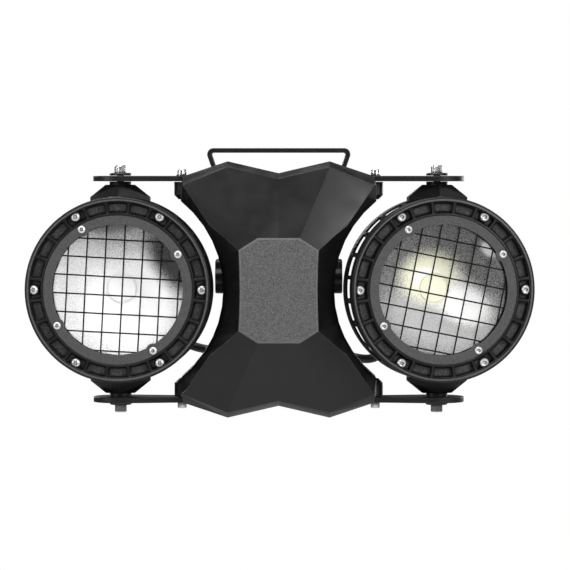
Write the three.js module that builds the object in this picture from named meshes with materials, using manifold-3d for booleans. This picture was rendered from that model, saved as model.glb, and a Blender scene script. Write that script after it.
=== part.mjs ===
// Audience blinder light: two round lamp heads on flat arms, one on each side of a faceted
// hourglass body that hangs from a bent flat yoke.
// Millimetres, +Z up, the lamps shine towards -Y, +X to the right seen from the front.
// The origin is the centre of the clamp hole, on the upper face of the yoke's top bar.

import * as THREE from "three";
import { ConvexGeometry } from "three/addons/geometries/ConvexGeometry.js";
import { mergeVertices } from "three/addons/utils/BufferGeometryUtils.js";
import Module from "manifold-3d";

const wasm = await Module();
wasm.setup();

// Clearances and helpers that every piece shares
const seatGap = 0.3; // between faces that seat on each other
const slideGap = 0.3; // round a pin, stem or stud in its hole
const overrun = 2; // how far a cut runs past the face it opens
const weldReach = 1e-4; // vertices nearer than this are one
const sides = { ring: 48, cell: 24, round: 16, pin: 12, small: 8, hex: 6, bend: 6, wire: 4 };

// Yoke: flat bar, bent
const yoke = {
  barThickness: 5,
  barWidth: 40,
  topWidth: 164, // outside, where the faces of the bends would meet
  rise: 144, // from the tilt axis to the upper face
  legInnerX: 43.8, // inner face of the straight foot of each leg
  footLength: 46, // straight part of the leg above the tilt axis
  bendRadius: 2,
  clampHoleRadius: 6.5,
};

// Central body, seen from the front: hourglass outline
const outline = {
  arcCentreX: 186,
  arcRadius: 125, // the concave side that each head swings in
  wingX: 107.4, // straight end of each wing
  wingZ: 115,
  cornerX: 105,
  cornerZ: 124.6,
  peakX: 56,
  peakZ: 141,
  notchZ: 128,
};

// Front cover: facets that rise to an octagonal plateau
const cover = {
  plateauDepth: 40, // plateau in front of the joint face
  lip: 3, // straight edge at the joint face
  wall: 3.5,
  padHalfWidth: 43.6,
  padSideZ: 44,
  padTopX: 23,
  padTopZ: 57.3,
  padHollow: 1.2, // how far the side edges of the pad are drawn in
  padMiddleShare: 0.7, // of that, half way to the waist
  padRaise: 1.4,
  padBevel: 1.2,
  cornerFall: 0.3, // slope of the corner facets
  valleyDepth: 3, // of the crease from the notch to the pad
  topBand: 6.3, // height of the chamfer along the top edge
  shoulderX: 59.4,
  shoulderZ: 58.3,
  elbowX: 74.8,
  elbowZ: 70.6,
  ridgeEndX: 105.2,
  ridgeShares: [0.72, 0.38], // points of the ridge between its end and the elbow
  gasketInset: 0.5,
  gasketThickness: 1.5,
  gasketWidth: 2.5,
};

// Chassis: the frame behind the cover, which carries the arms
const chassis = {
  depth: 45,
  wall: 4,
  backWall: 4,
  shoulderX: 97.5, // the arms butt against this step
  seatZ: 118.4, // the arms lie on this face
  bossRadius: 8.5,
  bossX: 107,
  bossBottomZ: 99,
  bossTaper: 5,
  screwHoleRadius: 2.6,
  screwHoleDepth: 16,
  windowWidth: 50,
  windowHeight: 90,
};

// Rear housing: the box behind the chassis that holds the electronics and the tilt axis
const rear = {
  width: 82,
  height: 150,
  depth: 73,
  cornerRadius: 8,
  wall: 3,
  backWall: 4,
  tiltDepth: 86, // of the tilt axis behind the joint face of the cover
  tiltZ: 12, // of the tilt axis above the middle of the body
  hubRadius: 17,
  hubHeight: 2.5,
  nutRadius: 10, // inner boss that the stud screws into
  nutLength: 14,
};

// Lock knob: six lobes on a threaded stud
const knob = {
  radius: 19.6,
  lobe: 1.7,
  lobes: 6,
  stepsPerLobe: 4,
  outerX: 71.5,
  gripLength: 16,
  bevel: 2,
  neckRadius: 11,
  studRadius: 5,
  studLength: 15, // inside the rear housing
};

// Things on the back of the rear housing
const panel = {
  windowWidth: 52,
  windowHeight: 20,
  windowThickness: 1.5,
  windowFrame: 4,
  windowFall: 27, // of the window's middle below the top of the housing
  buttonPitch: 16,
  buttonShare: 0.6, // of the way up from the sockets' flanges to the window
  buttonRadius: 4.5,
  buttonProud: 1.6,
  buttonCollar: 1.2,
  buttonCollarThickness: 1.4,
  socketX: 20,
  socketRise: 20, // of the lower sockets above the bottom of the housing
  socketPitch: 35,
  flangeWidth: 26,
  flangeHeight: 31,
  flangeThickness: 2,
  flangeRadius: 4,
  barrelRadius: 11.8,
  barrelLength: 24,
  powerBoreRadius: 9,
  dataBoreRadius: 8,
  boreDepth: 14,
  boardWidth: 66,
  boardFall: 9, // of its top below the top of the housing
  boardRise: 11.2, // of its lower edge above the upper sockets' barrels
  boardThickness: 1.6,
  postRadius: 3,
  postLength: 4.2,
  postInset: 5,
};

// Power supply in the chassis
const supply = { width: 64, height: 112, depth: 30, bevel: 2 };

// Arms: flat plates with a round end over the pan axis
const arm = {
  thickness: 6,
  innerX: 98,
  neckX: 118, // from here the plate widens to its round end
  width: 40,
  endRadius: 30,
  bushHoleRadius: 7,
  screwHoleRadius: 3.3,
};

// Bush and screw of each pan pivot
const pivot = {
  flangeRadius: 12,
  flangeThickness: 3,
  screwRadius: 4,
  headRadius: 6.5,
  headHeight: 8,
  socketRadius: 3.4,
  socketDepth: 4,
  reach: 12, // of the screw into the lug
};

// Lamp head: depths are measured from the plane of the front rim
const head = {
  panX: 175, // of the pan axis from the middle of the body
  panDepth: 42, // of the pan axis behind the front rim
  bodyDepth: 22, // of the pan axis behind the joint face of the cover
  restAngles: { left: 2, right: 8 }, // degrees, turned outwards
  radius: 102,
  rimRound: 2.6,
};

// Bezel ring with its 24 pockets, and what it holds
const bezel = {
  cells: 24,
  ribWidth: 3.4,
  pocketOuter: 96,
  pocketInner: 84.4,
  pocketDepth: 9,
  screws: 6,
  screwCircle: 92.4,
  bossRadius: 6.2,
  bossTop: 4.4, // of the screw bosses behind the front rim
  glassBore: 78.2,
  ledgeBore: 72,
  ledgeThickness: 2.2,
};
const ring = {
  radius: 81.8,
  bore: 71.7,
  setback: 1.2,
  thickness: 3,
  lugs: 4,
  lugCircle: 77,
  lugRadius: 8,
  lugAngle: 30.5, // degrees of the first lug from +X
};
const mesh = {
  wireRadius: 0.8,
  layerGap: 0.1, // between the upright and the level wires
  pitch: 20.4,
  wires: 7,
  rimWidth: 2.4,
  weldShare: 1 / 3, // of the rim's width that each wire's end is sunk in
  shift: [5, -6.4], // of the grid from the middle
  turns: { left: 3, right: 11.5 }, // degrees
};
const glass = { thickness: 4, rimClearance: 0.4 };
const gasket = { thickness: 1.5 };

// Drum housing: front flange, drum, floor, ribs and the outer shroud ring
const drum = {
  flangeRadius: 100,
  flangeDepth: 23, // back face of the flange
  radius: 80,
  bore: 76,
  floorDepth: 66,
  floorThickness: 6,
  backDepth: 84,
  shroudFront: 44,
  shroudBack: 62,
  shroudWall: 2.4,
  ribThickness: 4.4,
  wireHoleRadius: 6,
  wireHoleX: 40,
};
const reflector = { wall: 1, rimThickness: 1.2, mouth: 71, throat: 17.5, depth: 44, steps: 4 };
const led = { base: 44, baseThickness: 2.5, chipRadius: 14, chipThickness: 1.2 };
const cap = {
  straight: 7,
  depth: 22,
  backRadius: 64,
  wall: 3.5,
  spigot: 4,
  glandX: 32, // towards the body
  glandZ: -42,
};

// Pivot lugs on top of and under the shroud ring
const lug = {
  baseHalfWidth: 33,
  topHalfWidth: 16,
  topZ: 115.2,
  edgeZ: 101.5,
  halfDepth: 20,
  topDepthShare: 0.72,
  sideShare: 0.3, // half depth of the side edge
};

// Glands and leads
const gland = {
  nutRadius: 10.5,
  nutLength: 6,
  barrelRadius: 8.6,
  barrelLength: 7,
  domeLength: 9,
  domeEndRadius: 6.4,
  stemRadius: 7.4,
  bodyX: 66,
  bodyZ: -72,
};
const lead = { radius: 5, sides: 8, steps: 14 };
// Routes by hand, from the middle of the body at the joint face, for the right side
const leadRoutes = {
  left: [
    [66, 67.3, -72], [66, 82, -72], [70, 102, -72.5], [82, 121, -72.5], [99, 133, -69],
    [117, 138, -60], [132.5, 133, -49], [139.6, 119.5, -42.5], [140, 107.43, -42],
  ],
  right: [
    [66, 67.3, -72], [66, 81, -72.5], [70, 99, -75], [80, 116, -79.5], [94, 128, -83.5],
    [108.5, 135.5, -83], [120.5, 138.5, -74], [126, 135, -59], [127.6, 124.5, -47], [129.7, 114.2, -42.5],
    [131.26, 103.3, -42],
  ],
};

// Lengths that follow from the sizes above
const degree = Math.PI / 180;
const quarter = Math.PI / 2;
const armTop = chassis.seatZ + 2 * seatGap + arm.thickness;
const armBottom = armTop - arm.thickness;
const bodyZ = -(yoke.rise + rear.tiltZ);
const chassisFront = cover.gasketThickness + 2 * seatGap;
const rearFront = chassis.depth + seatGap;
const rearBack = rearFront + rear.depth;
const meshDepth = 4 * mesh.wireRadius + mesh.layerGap;
const meshFront = ring.setback + ring.thickness + seatGap;
const glassFront = meshFront + meshDepth + seatGap;
const gasketFront = glassFront + glass.thickness + seatGap;
const ledgeFront = gasketFront + gasket.thickness + seatGap;
const bezelDepth = ledgeFront + bezel.ledgeThickness;
const flangeFront = bezelDepth + seatGap;
const windowZ = rear.height / 2 - panel.windowFall;
const socketLowZ = panel.socketRise - rear.height / 2;
const socketHighZ = socketLowZ + panel.socketPitch;
const boardTopZ = rear.height / 2 - panel.boardFall;
const boardBottomZ = socketHighZ + panel.barrelRadius + panel.boardRise;
const flangeTopZ = socketHighZ + panel.flangeHeight / 2;
const buttonRoom = windowZ - panel.windowHeight / 2 - flangeTopZ;
const buttonZ = flangeTopZ + panel.buttonShare * buttonRoom;

// A geometry as a closed solid: shared vertices merged, collapsed triangles left out
function solid(geometry) {
  const bare = geometry.index ? geometry.toNonIndexed() : geometry.clone();
  bare.deleteAttribute("normal");
  bare.deleteAttribute("uv");
  const merged = mergeVertices(bare, weldReach);
  const corners = merged.index.array;
  const kept = [];
  for (let i = 0; i < corners.length; i += 3) {
    const [a, b, c] = corners.slice(i, i + 3);
    if (a !== b && b !== c && c !== a) kept.push(a, b, c);
  }
  return new wasm.Manifold(
    new wasm.Mesh({
      numProp: 3,
      vertProperties: merged.attributes.position.array,
      triVerts: new Uint32Array(kept),
    }),
  );
}

// A solid as a flat-shaded geometry
function surface(shape) {
  const mesh = shape.getMesh();
  const geometry = new THREE.BufferGeometry();
  geometry.setAttribute("position", new THREE.BufferAttribute(new Float32Array(mesh.vertProperties), 3));
  geometry.setIndex(new THREE.BufferAttribute(new Uint32Array(mesh.triVerts), 1));
  const flat = geometry.toNonIndexed();
  flat.computeVertexNormals();
  return flat;
}

// Area of an outline, positive when it runs anticlockwise
function signedArea(points) {
  let twice = 0;
  points.forEach(([x, y], i) => {
    const [nextX, nextY] = points[(i + 1) % points.length];
    twice += x * nextY - nextX * y;
  });
  return twice / 2;
}

// A revolved solid about the Y axis; the profile holds [radius, y] and may miss the axis
function turned(profile, count = sides.ring, lift = 0) {
  const points = signedArea(profile) < 0 ? [...profile].reverse() : [...profile];
  points.push(points[0]);
  const vectors = points.map(([radius, y]) => new THREE.Vector2(radius, y + lift));
  return solid(new THREE.LatheGeometry(vectors, count));
}

// A plain round bar about the Y axis from one depth to another
function bar(radius, from, to, count = sides.round) {
  return turned([[0, from], [radius, from], [radius, to], [0, to]], count);
}

function shapeOf(points) {
  return new THREE.Shape(points.map(([x, y]) => new THREE.Vector2(x, y)));
}

// An outline in X and Z, as deep as stated, starting at a depth
function plate(points, from, to) {
  const geometry = new THREE.ExtrudeGeometry(shapeOf(points), {
    depth: to - from,
    bevelEnabled: false,
  });
  return solid(geometry.rotateX(quarter).translate(0, to, 0));
}

// An outline in X and Y between two heights
function slab(points, from, to) {
  const geometry = new THREE.ExtrudeGeometry(shapeOf(points), {
    depth: to - from,
    bevelEnabled: false,
  });
  return solid(geometry.translate(0, 0, from));
}

// A geometry's solid, moved and turned by one matrix
function placed(shape, { x = 0, y = 0, z = 0, turnX = 0, turnY = 0, turnZ = 0 }) {
  const geometry = surface(shape);
  const turn = new THREE.Euler(turnX, turnY, turnZ);
  const matrix = new THREE.Matrix4().makeRotationFromEuler(turn);
  matrix.setPosition(x, y, z);
  return solid(geometry.applyMatrix4(matrix));
}

function arcPoints(centreX, centreY, radius, fromAngle, toAngle, steps) {
  return Array.from({ length: steps + 1 }, (_, i) => {
    const angle = fromAngle + ((toAngle - fromAngle) * i) / steps;
    return [centreX + radius * Math.cos(angle), centreY + radius * Math.sin(angle)];
  });
}

// A rectangle about a middle, its corners rounded with a given number of steps
function roundedBox(width, height, radius, steps, middleX = 0, middleY = 0) {
  const x = width / 2 - radius;
  const y = height / 2 - radius;
  const corners = [[x, y], [-x, y], [-x, -y], [x, -y]];
  return corners.flatMap(([cornerX, cornerY], i) =>
    arcPoints(middleX + cornerX, middleY + cornerY, radius, i * quarter, (i + 1) * quarter, steps),
  );
}

// The material of a sub-part, and the named mesh made of it
function part(name, shape, look) {
  const [color, roughness, metalness] = look;
  const material = new THREE.MeshStandardMaterial({ color, roughness, metalness });
  const item = new THREE.Mesh(surface(shape), material);
  item.name = name;
  return item;
}
const looks = {
  blackPaint: [0x1c1d1f, 0.55, 0.2],
  castPaint: [0x26272a, 0.7, 0.2],
  greyPlate: [0x4c4d50, 0.6, 0.3],
  steel: [0xc9cacc, 0.3, 1],
  darkWire: [0x2a2b2d, 0.45, 0.8],
  glass: [0xe9eef0, 0.05, 0],
  rubber: [0x151515, 0.85, 0],
  reflector: [0xd8d8d6, 0.35, 0.9],
  chip: [0xe8dfae, 0.6, 0],
  plastic: [0x18181a, 0.5, 0],
  board: [0x1d5136, 0.6, 0.1],
  sheet: [0xa9abad, 0.45, 0.8],
};

// One sector of a ring, as an outline: the opening between two ribs of even thickness
function cellOutline(inner, outer, ribThickness, index) {
  const middle = (index * 2 * Math.PI) / bezel.cells;
  const half = Math.PI / bezel.cells;
  const innerHalf = half - Math.asin(ribThickness / 2 / inner);
  const outerHalf = half - Math.asin(ribThickness / 2 / outer);
  return [
    ...arcPoints(0, 0, outer, middle - outerHalf, middle + outerHalf, 1),
    ...arcPoints(0, 0, inner, middle + innerHalf, middle - innerHalf, 1),
  ];
}

// Bezel ring: stepped bore, rounded rim, pockets between ribs, six screw bosses
function bezelRing() {
  const ledge = ring.setback + ring.thickness + seatGap;
  const back = bezelDepth;
  let shape = turned([
    [head.radius, head.rimRound],
    [head.radius, back],
    [0, back],
    [0, ledge],
    [ring.radius + seatGap, ledge],
    [ring.radius + seatGap, 0],
    [head.radius - head.rimRound, 0],
    [head.radius - head.rimRound * (1 - Math.SQRT1_2), head.rimRound * (1 - Math.SQRT1_2)],
  ]);
  shape = shape
    .subtract(bar(bezel.glassBore, ledge - overrun, ledgeFront, sides.cell))
    .subtract(bar(bezel.ledgeBore, ledge - overrun, back + overrun, sides.cell));
  for (let i = 0; i < bezel.cells; i += 1) {
    const cell = cellOutline(bezel.pocketInner, bezel.pocketOuter, bezel.ribWidth, i);
    shape = shape.subtract(plate(cell, -overrun, bezel.pocketDepth));
  }
  for (let i = 0; i < bezel.screws; i += 1) {
    const angle = (i * 2 * Math.PI) / bezel.screws;
    const boss = placed(bar(bezel.bossRadius, bezel.bossTop, ledgeFront, sides.small), {
      x: bezel.screwCircle * Math.cos(angle),
      z: bezel.screwCircle * Math.sin(angle),
    });
    shape = shape.add(boss);
  }
  return shape;
}

// Flat ring that holds the mesh and glass, with four round screw lugs
function retainingRing() {
  const from = ring.setback;
  const to = ring.setback + ring.thickness;
  let shape = turned([[ring.bore, from], [ring.radius, from], [ring.radius, to], [ring.bore, to]]);
  const disc = bar(ring.radius, from, to, sides.ring);
  for (let i = 0; i < ring.lugs; i += 1) {
    const angle = ring.lugAngle * degree + (i * 2 * Math.PI) / ring.lugs;
    const eye = placed(bar(ring.lugRadius, from, to), {
      x: ring.lugCircle * Math.cos(angle),
      z: ring.lugCircle * Math.sin(angle),
    });
    shape = shape.add(eye.intersect(disc));
  }
  return shape;
}

// Square mesh in a round rim: a layer of upright wires in front of a layer of level ones
function meshGuard(turn) {
  const rimRadius = bezel.glassBore - seatGap;
  const boreRadius = rimRadius - mesh.rimWidth;
  const wireReach = boreRadius + mesh.rimWidth * mesh.weldShare;
  const layers = [meshFront + mesh.wireRadius, meshFront + meshDepth - mesh.wireRadius];
  const rim = turned([
    [boreRadius, meshFront],
    [rimRadius, meshFront],
    [rimRadius, meshFront + meshDepth],
    [boreRadius, meshFront + meshDepth],
  ], sides.cell);
  let wires = rim;
  const offsets = (shift) =>
    Array.from({ length: mesh.wires }, (_, i) => (i - (mesh.wires - 1) / 2) * mesh.pitch + shift)
      .filter((offset) => Math.abs(offset) < boreRadius);
  layers.forEach((depth, layer) => {
    offsets(mesh.shift[layer]).forEach((offset) => {
      const half = Math.sqrt(wireReach ** 2 - offset ** 2);
      const wire = bar(mesh.wireRadius, -half, half, sides.wire);
      const lie = layer === 0
        ? { x: offset, y: depth, turnX: quarter }
        : { z: offset, y: depth, turnZ: quarter };
      const flat = placed(wire, lie);
      wires = wires.add(placed(flat, { turnY: turn * degree }));
    });
  });
  return wires;
}

function frontGlass() {
  return bar(bezel.glassBore - glass.rimClearance, glassFront, glassFront + glass.thickness, sides.cell);
}

function lensGasket() {
  const back = gasketFront + gasket.thickness;
  const outer = bezel.glassBore - seatGap;
  const inner = bezel.ledgeBore;
  return turned([[inner, gasketFront], [outer, gasketFront], [outer, back], [inner, back]], sides.cell);
}

// Reflector bowl: a parabola from the LED to the mouth, with a rim that the bezel clamps
function reflectorBowl() {
  const back = flangeFront + reflector.rimThickness;
  const rim = drum.bore - seatGap;
  const curve = (extra) =>
    Array.from({ length: reflector.steps }, (_, i) => {
      const share = i / (reflector.steps - 1);
      const radius = reflector.throat + (reflector.mouth - reflector.throat) * Math.sqrt(share);
      return [radius + extra, flangeFront + reflector.depth * (1 - share)];
    });
  const inside = curve(0);
  const outside = curve(reflector.wall).reverse().slice(1);
  const edge = [[rim, flangeFront], [rim, back], [reflector.mouth + reflector.wall, back]];
  return turned([...inside, ...edge, ...outside], sides.cell);
}

// LED: a metal base on the drum floor with the round light-emitting chip
function ledModule() {
  const back = drum.floorDepth - seatGap;
  const front = back - led.baseThickness;
  const base = plate(roundedBox(led.base, led.base, led.baseThickness, 2), front, back);
  return base.add(bar(led.chipRadius, front - led.chipThickness, back, sides.round));
}

// Drum housing, one casting: front flange, drum with its floor, ribs and shroud ring.
// Between each two ribs a channel is open to the back, and to the outside in front of the shroud.
function drumHousing() {
  const floorBack = drum.floorDepth + drum.floorThickness;
  const halfCell = Math.PI / bezel.cells;
  const barrel = bar(drum.radius, flangeFront, drum.backDepth, sides.cell);
  let shape = turned([
    [0, flangeFront],
    [drum.flangeRadius, flangeFront],
    [drum.flangeRadius, drum.flangeDepth],
    [head.radius, drum.flangeDepth],
    [head.radius, drum.shroudBack],
    [0, drum.shroudBack],
  ], sides.ring);
  for (let i = 0; i < bezel.cells; i += 1) {
    const channel = cellOutline(drum.radius, head.radius - drum.shroudWall, drum.ribThickness, i);
    const slot = cellOutline(drum.radius, head.radius + overrun, drum.ribThickness, i);
    shape = shape
      .subtract(plate(channel, drum.flangeDepth, drum.shroudBack + overrun))
      .subtract(plate(slot, drum.flangeDepth, drum.shroudFront));
  }
  const wireHole = bar(drum.wireHoleRadius, drum.floorDepth - overrun, floorBack + overrun, sides.small);
  return shape
    .add(placed(barrel, { turnY: halfCell }))
    .subtract(bar(drum.bore, flangeFront - overrun, drum.floorDepth, sides.cell))
    .subtract(bar(drum.bore, floorBack, drum.backDepth + overrun, sides.cell))
    .subtract(placed(wireHole, { x: drum.wireHoleX, z: 0 }));
}

// Rear cap: a dished cover with a spigot in the drum and the hole for the cable gland
function rearCap(inward) {
  const front = drum.backDepth + seatGap;
  const back = front + cap.depth;
  const spigot = drum.bore - seatGap;
  const cone = front + cap.straight;
  let shape = turned([
    [0, back],
    [cap.backRadius, back],
    [drum.radius, cone],
    [drum.radius, front],
    [spigot, front],
    [spigot, front - cap.spigot],
    [spigot - cap.wall, front - cap.spigot],
    [spigot - cap.wall, cone],
    [cap.backRadius - cap.wall, back - cap.wall],
    [0, back - cap.wall],
  ], sides.cell);
  const hole = bar(gland.stemRadius + slideGap, back - cap.wall - overrun, back + overrun, sides.pin);
  shape = shape.subtract(placed(hole, { x: inward * cap.glandX, z: cap.glandZ }));
  return shape;
}

// Pivot lug: a faceted prow that stands on the shroud ring and carries the pan screw
function pivotLug(up) {
  const level = (halfWidth, depthShare, z) => {
    const halfDepth = lug.halfDepth * depthShare;
    const edge = halfDepth * lug.sideShare;
    const right = [[0, -halfDepth], [halfWidth, -edge], [halfWidth, edge], [0, halfDepth]];
    return [...right, [-halfWidth, edge], [-halfWidth, -edge]]
      .map(([x, y]) => new THREE.Vector3(x, head.panDepth + y, up * z));
  };
  const foot = head.radius * Math.cos(Math.asin(lug.baseHalfWidth / head.radius)) - overrun;
  let shape = solid(new ConvexGeometry([
    ...level(lug.baseHalfWidth, 1, foot),
    ...level(lug.baseHalfWidth, 1, lug.edgeZ),
    ...level(lug.topHalfWidth, lug.topDepthShare, lug.topZ),
  ]));
  const seat = bar(head.radius + seatGap, 0, head.panDepth + lug.halfDepth + overrun, sides.ring);
  shape = shape.subtract(seat);
  const collarRound = circle(pivot.flangeRadius, sides.round, 0, head.panDepth);
  const collar = slab(collarRound, lug.topZ - overrun, armBottom - seatGap);
  const hole = slab(
    circle(pivot.screwRadius + slideGap, sides.pin, 0, head.panDepth),
    armBottom - pivot.reach - seatGap,
    armBottom + overrun,
  );
  const lift = { turnY: up > 0 ? 0 : Math.PI };
  return shape.add(placed(collar, lift)).subtract(placed(hole, lift));
}
function circle(radius, count, x = 0, y = 0) {
  return arcPoints(x, y, radius, 0, 2 * Math.PI, count).slice(1);
}

// Pan screw: socket cap head outside the bush, shank through the arm into the lug
function pivotScrew(up) {
  const headFrom = armTop + seatGap + pivot.flangeThickness + seatGap;
  const headTo = headFrom + pivot.headHeight;
  const at = (radius, count) => circle(radius, count, 0, head.panDepth);
  const shape = slab(at(pivot.headRadius, sides.round), headFrom, headTo)
    .add(slab(at(pivot.screwRadius, sides.pin), armBottom - pivot.reach, headFrom + seatGap))
    .subtract(slab(at(pivot.socketRadius, sides.hex), headTo - pivot.socketDepth, headTo + overrun));
  return placed(shape, { turnY: up > 0 ? 0 : Math.PI });
}

// Cable gland about the Y axis: stem in the wall, hexagon nut, barrel and domed cap
function cableGland(face) {
  const nutBack = face + gland.nutLength;
  const barrelBack = nutBack + gland.barrelLength;
  const domeMiddle = barrelBack + gland.domeLength / 2;
  const back = barrelBack + gland.domeLength;
  const round = turned([
    [0, face - chassis.backWall],
    [gland.stemRadius, face - chassis.backWall],
    [gland.stemRadius, nutBack - seatGap],
    [gland.barrelRadius, nutBack - seatGap],
    [gland.barrelRadius, barrelBack],
    [(gland.barrelRadius + gland.domeEndRadius) / 2 + seatGap, domeMiddle],
    [gland.domeEndRadius, back],
    [0, back],
  ], sides.pin);
  return round.add(bar(gland.nutRadius, face + seatGap, nutBack, sides.hex));
}

// Lead: a round tube along its route, from gland to gland
function leadTube(points, side) {
  const route = new THREE.CatmullRomCurve3(points.map(([x, y, z]) => new THREE.Vector3(side * x, y, z)));
  const section = shapeOf(circle(lead.radius, lead.sides));
  const settings = { steps: lead.steps, extrudePath: route, bevelEnabled: false };
  return solid(new THREE.ExtrudeGeometry(section, settings));
}

// Hourglass outline of the body in X and Z, drawn in by an inset; the top corner may have a step
function hourglass(inset, stepped = false) {
  const radius = outline.arcRadius + inset;
  const wingX = outline.wingX - inset;
  const wingStart = Math.sqrt(radius ** 2 - (outline.arcCentreX - wingX) ** 2);
  const topEdge = (x) => {
    const share = (x - outline.peakX) / (outline.cornerX - outline.peakX);
    return outline.peakZ + (outline.cornerZ - outline.peakZ) * share - inset;
  };
  const arcAngle = Math.asin(wingStart / radius);
  const side = arcPoints(outline.arcCentreX, 0, radius, Math.PI - arcAngle, Math.PI, sides.bend);
  const stepX = chassis.shoulderX - inset;
  const stepZ = chassis.seatZ - inset;
  const corner = stepped
    ? [[stepX, topEdge(stepX)], [stepX, stepZ], [wingX, stepZ]]
    : [[outline.cornerX - inset, topEdge(outline.cornerX)], [wingX, outline.wingZ]];
  const upper = [[0, outline.notchZ - inset], [outline.peakX, outline.peakZ - inset], ...corner, ...side];
  return allQuarters(upper);
}

// A closed outline from the points of its upper right quarter, notch first and waist last
function allQuarters(upper) {
  const lower = [...upper].reverse().slice(1).map(([x, z]) => [x, -z]);
  const right = [...upper, ...lower];
  const left = [...right].reverse().slice(1, -1).map(([x, z]) => [-x, z]);
  return [...right, ...left];
}

// Upper right quarter of the pad's outline, from the middle of its top edge down to the waist
function padQuarter(wall) {
  const side = cover.padHalfWidth - wall;
  return [
    [0, cover.padTopZ - wall],
    [cover.padTopX, cover.padTopZ - wall],
    [side, cover.padSideZ],
    [side - cover.padHollow * cover.padMiddleShare, cover.padSideZ / 2],
    [side - cover.padHollow, 0],
  ];
}

// The cover's outer or inner skin as a closed solid: rim, drafted walls, facets and plateau.
// Its faces are lists of [x, depth in front of the joint face, z], anticlockwise seen from outside.
function coverSolid(wall, back) {
  const plateau = cover.plateauDepth - wall;
  const pad = padQuarter(wall).map(([x, z]) => [x, plateau, z]);
  const [padTop, padCorner, padSide] = pad;
  const run = [padSide[0] - padCorner[0], padCorner[2] - padSide[2]];
  // A point of the corner facet, which falls away from the pad's chamfered corner
  const onFacet = (x, z) => {
    const away = ((x - padCorner[0]) * run[1] + (z - padCorner[2]) * run[0]) / Math.hypot(...run);
    return [x, plateau - away * cover.cornerFall, z];
  };
  const elbow = onFacet(cover.elbowX - wall, cover.elbowZ);
  const ridgeEnd = onFacet(cover.ridgeEndX - wall, outline.wingZ - wall);
  const between = (share) =>
    onFacet(elbow[0] + (ridgeEnd[0] - elbow[0]) * share, elbow[2] + (ridgeEnd[2] - elbow[2]) * share);
  const peak = onFacet(outline.peakX - wall, outline.peakZ - cover.topBand - wall);
  const notchZ = outline.notchZ - cover.topBand - wall;
  const fall = (plateau - peak[1]) / (peak[2] - padTop[2]);
  const notch = [0, plateau - fall * (notchZ - padTop[2]) - cover.valleyDepth, notchZ];
  // The top facet leans into the valley, so it meets the pad a little lower at the middle
  const facet = new THREE.Plane().setFromCoplanarPoints(
    ...[padCorner, peak, notch].map((point) => new THREE.Vector3(...point)),
  );
  const valleyY = -(facet.normal.z * padTop[2] + facet.constant) / facet.normal.y;
  const valley = [0, valleyY, padTop[2]];
  const shoulder = onFacet(cover.shoulderX - wall, cover.shoulderZ);
  const shares = cover.ridgeShares.map(between);
  const ridge = [notch, peak, ridgeEnd, ridgeEnd, ...shares, elbow, shoulder, ...pad.slice(2)];
  const faces = [
    [[0, plateau, 0], ...[...pad].reverse()],
    [padTop, padCorner, valley],
    [valley, padCorner, peak, notch],
    [padCorner, padSide, shoulder, elbow, ...[...shares].reverse(), ridgeEnd, peak],
  ];
  const rim = hourglass(wall).slice(0, ridge.length);
  rim.slice(1).forEach(([x, z], i) => {
    const [lastX, lastZ] = rim[i];
    faces.push([[lastX, back, lastZ], [lastX, cover.lip, lastZ], [x, cover.lip, z], [x, back, z]]);
    faces.push([[lastX, cover.lip, lastZ], ridge[i], ridge[i + 1], [x, cover.lip, z]]);
    faces.push([[0, back, 0], [lastX, back, lastZ], [x, back, z]]);
  });
  return solid(mirroredFaces(faces));
}

// Faces of one quarter, repeated in all four as one closed surface
function mirroredFaces(faces) {
  const corners = [];
  const add = (face, mirrorX, mirrorZ) => {
    const points = face.map(([x, depth, z]) => [mirrorX * x, -depth, mirrorZ * z]);
    if (mirrorX * mirrorZ < 0) points.reverse();
    for (let i = 1; i < points.length - 1; i += 1) {
      corners.push(...points[0], ...points[i], ...points[i + 1]);
    }
  };
  faces.forEach((face) => {
    add(face, 1, 1);
    add(face, -1, 1);
    add(face, -1, -1);
    add(face, 1, -1);
  });
  const geometry = new THREE.BufferGeometry();
  return geometry.setAttribute("position", new THREE.BufferAttribute(new Float32Array(corners), 3));
}

// Front cover: hollow faceted shell with the raised pad
function frontCover() {
  const pad = new THREE.ExtrudeGeometry(shapeOf(allQuarters(padQuarter(0))), {
    depth: cover.wall + cover.padRaise - 2 * cover.padBevel,
    bevelThickness: cover.padBevel,
    bevelSize: cover.padBevel,
    bevelOffset: -cover.padBevel,
    bevelSegments: 1,
  });
  const back = cover.wall - cover.plateauDepth - cover.padBevel;
  return coverSolid(0, 0)
    .subtract(coverSolid(cover.wall, -overrun))
    .add(solid(pad.rotateX(quarter).translate(0, back, 0)));
}

function coverGasket() {
  const back = seatGap + cover.gasketThickness;
  const outer = plate(hourglass(cover.gasketInset), seatGap, back);
  return outer.subtract(plate(hourglass(cover.gasketInset + cover.gasketWidth), 0, back + overrun));
}

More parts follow.
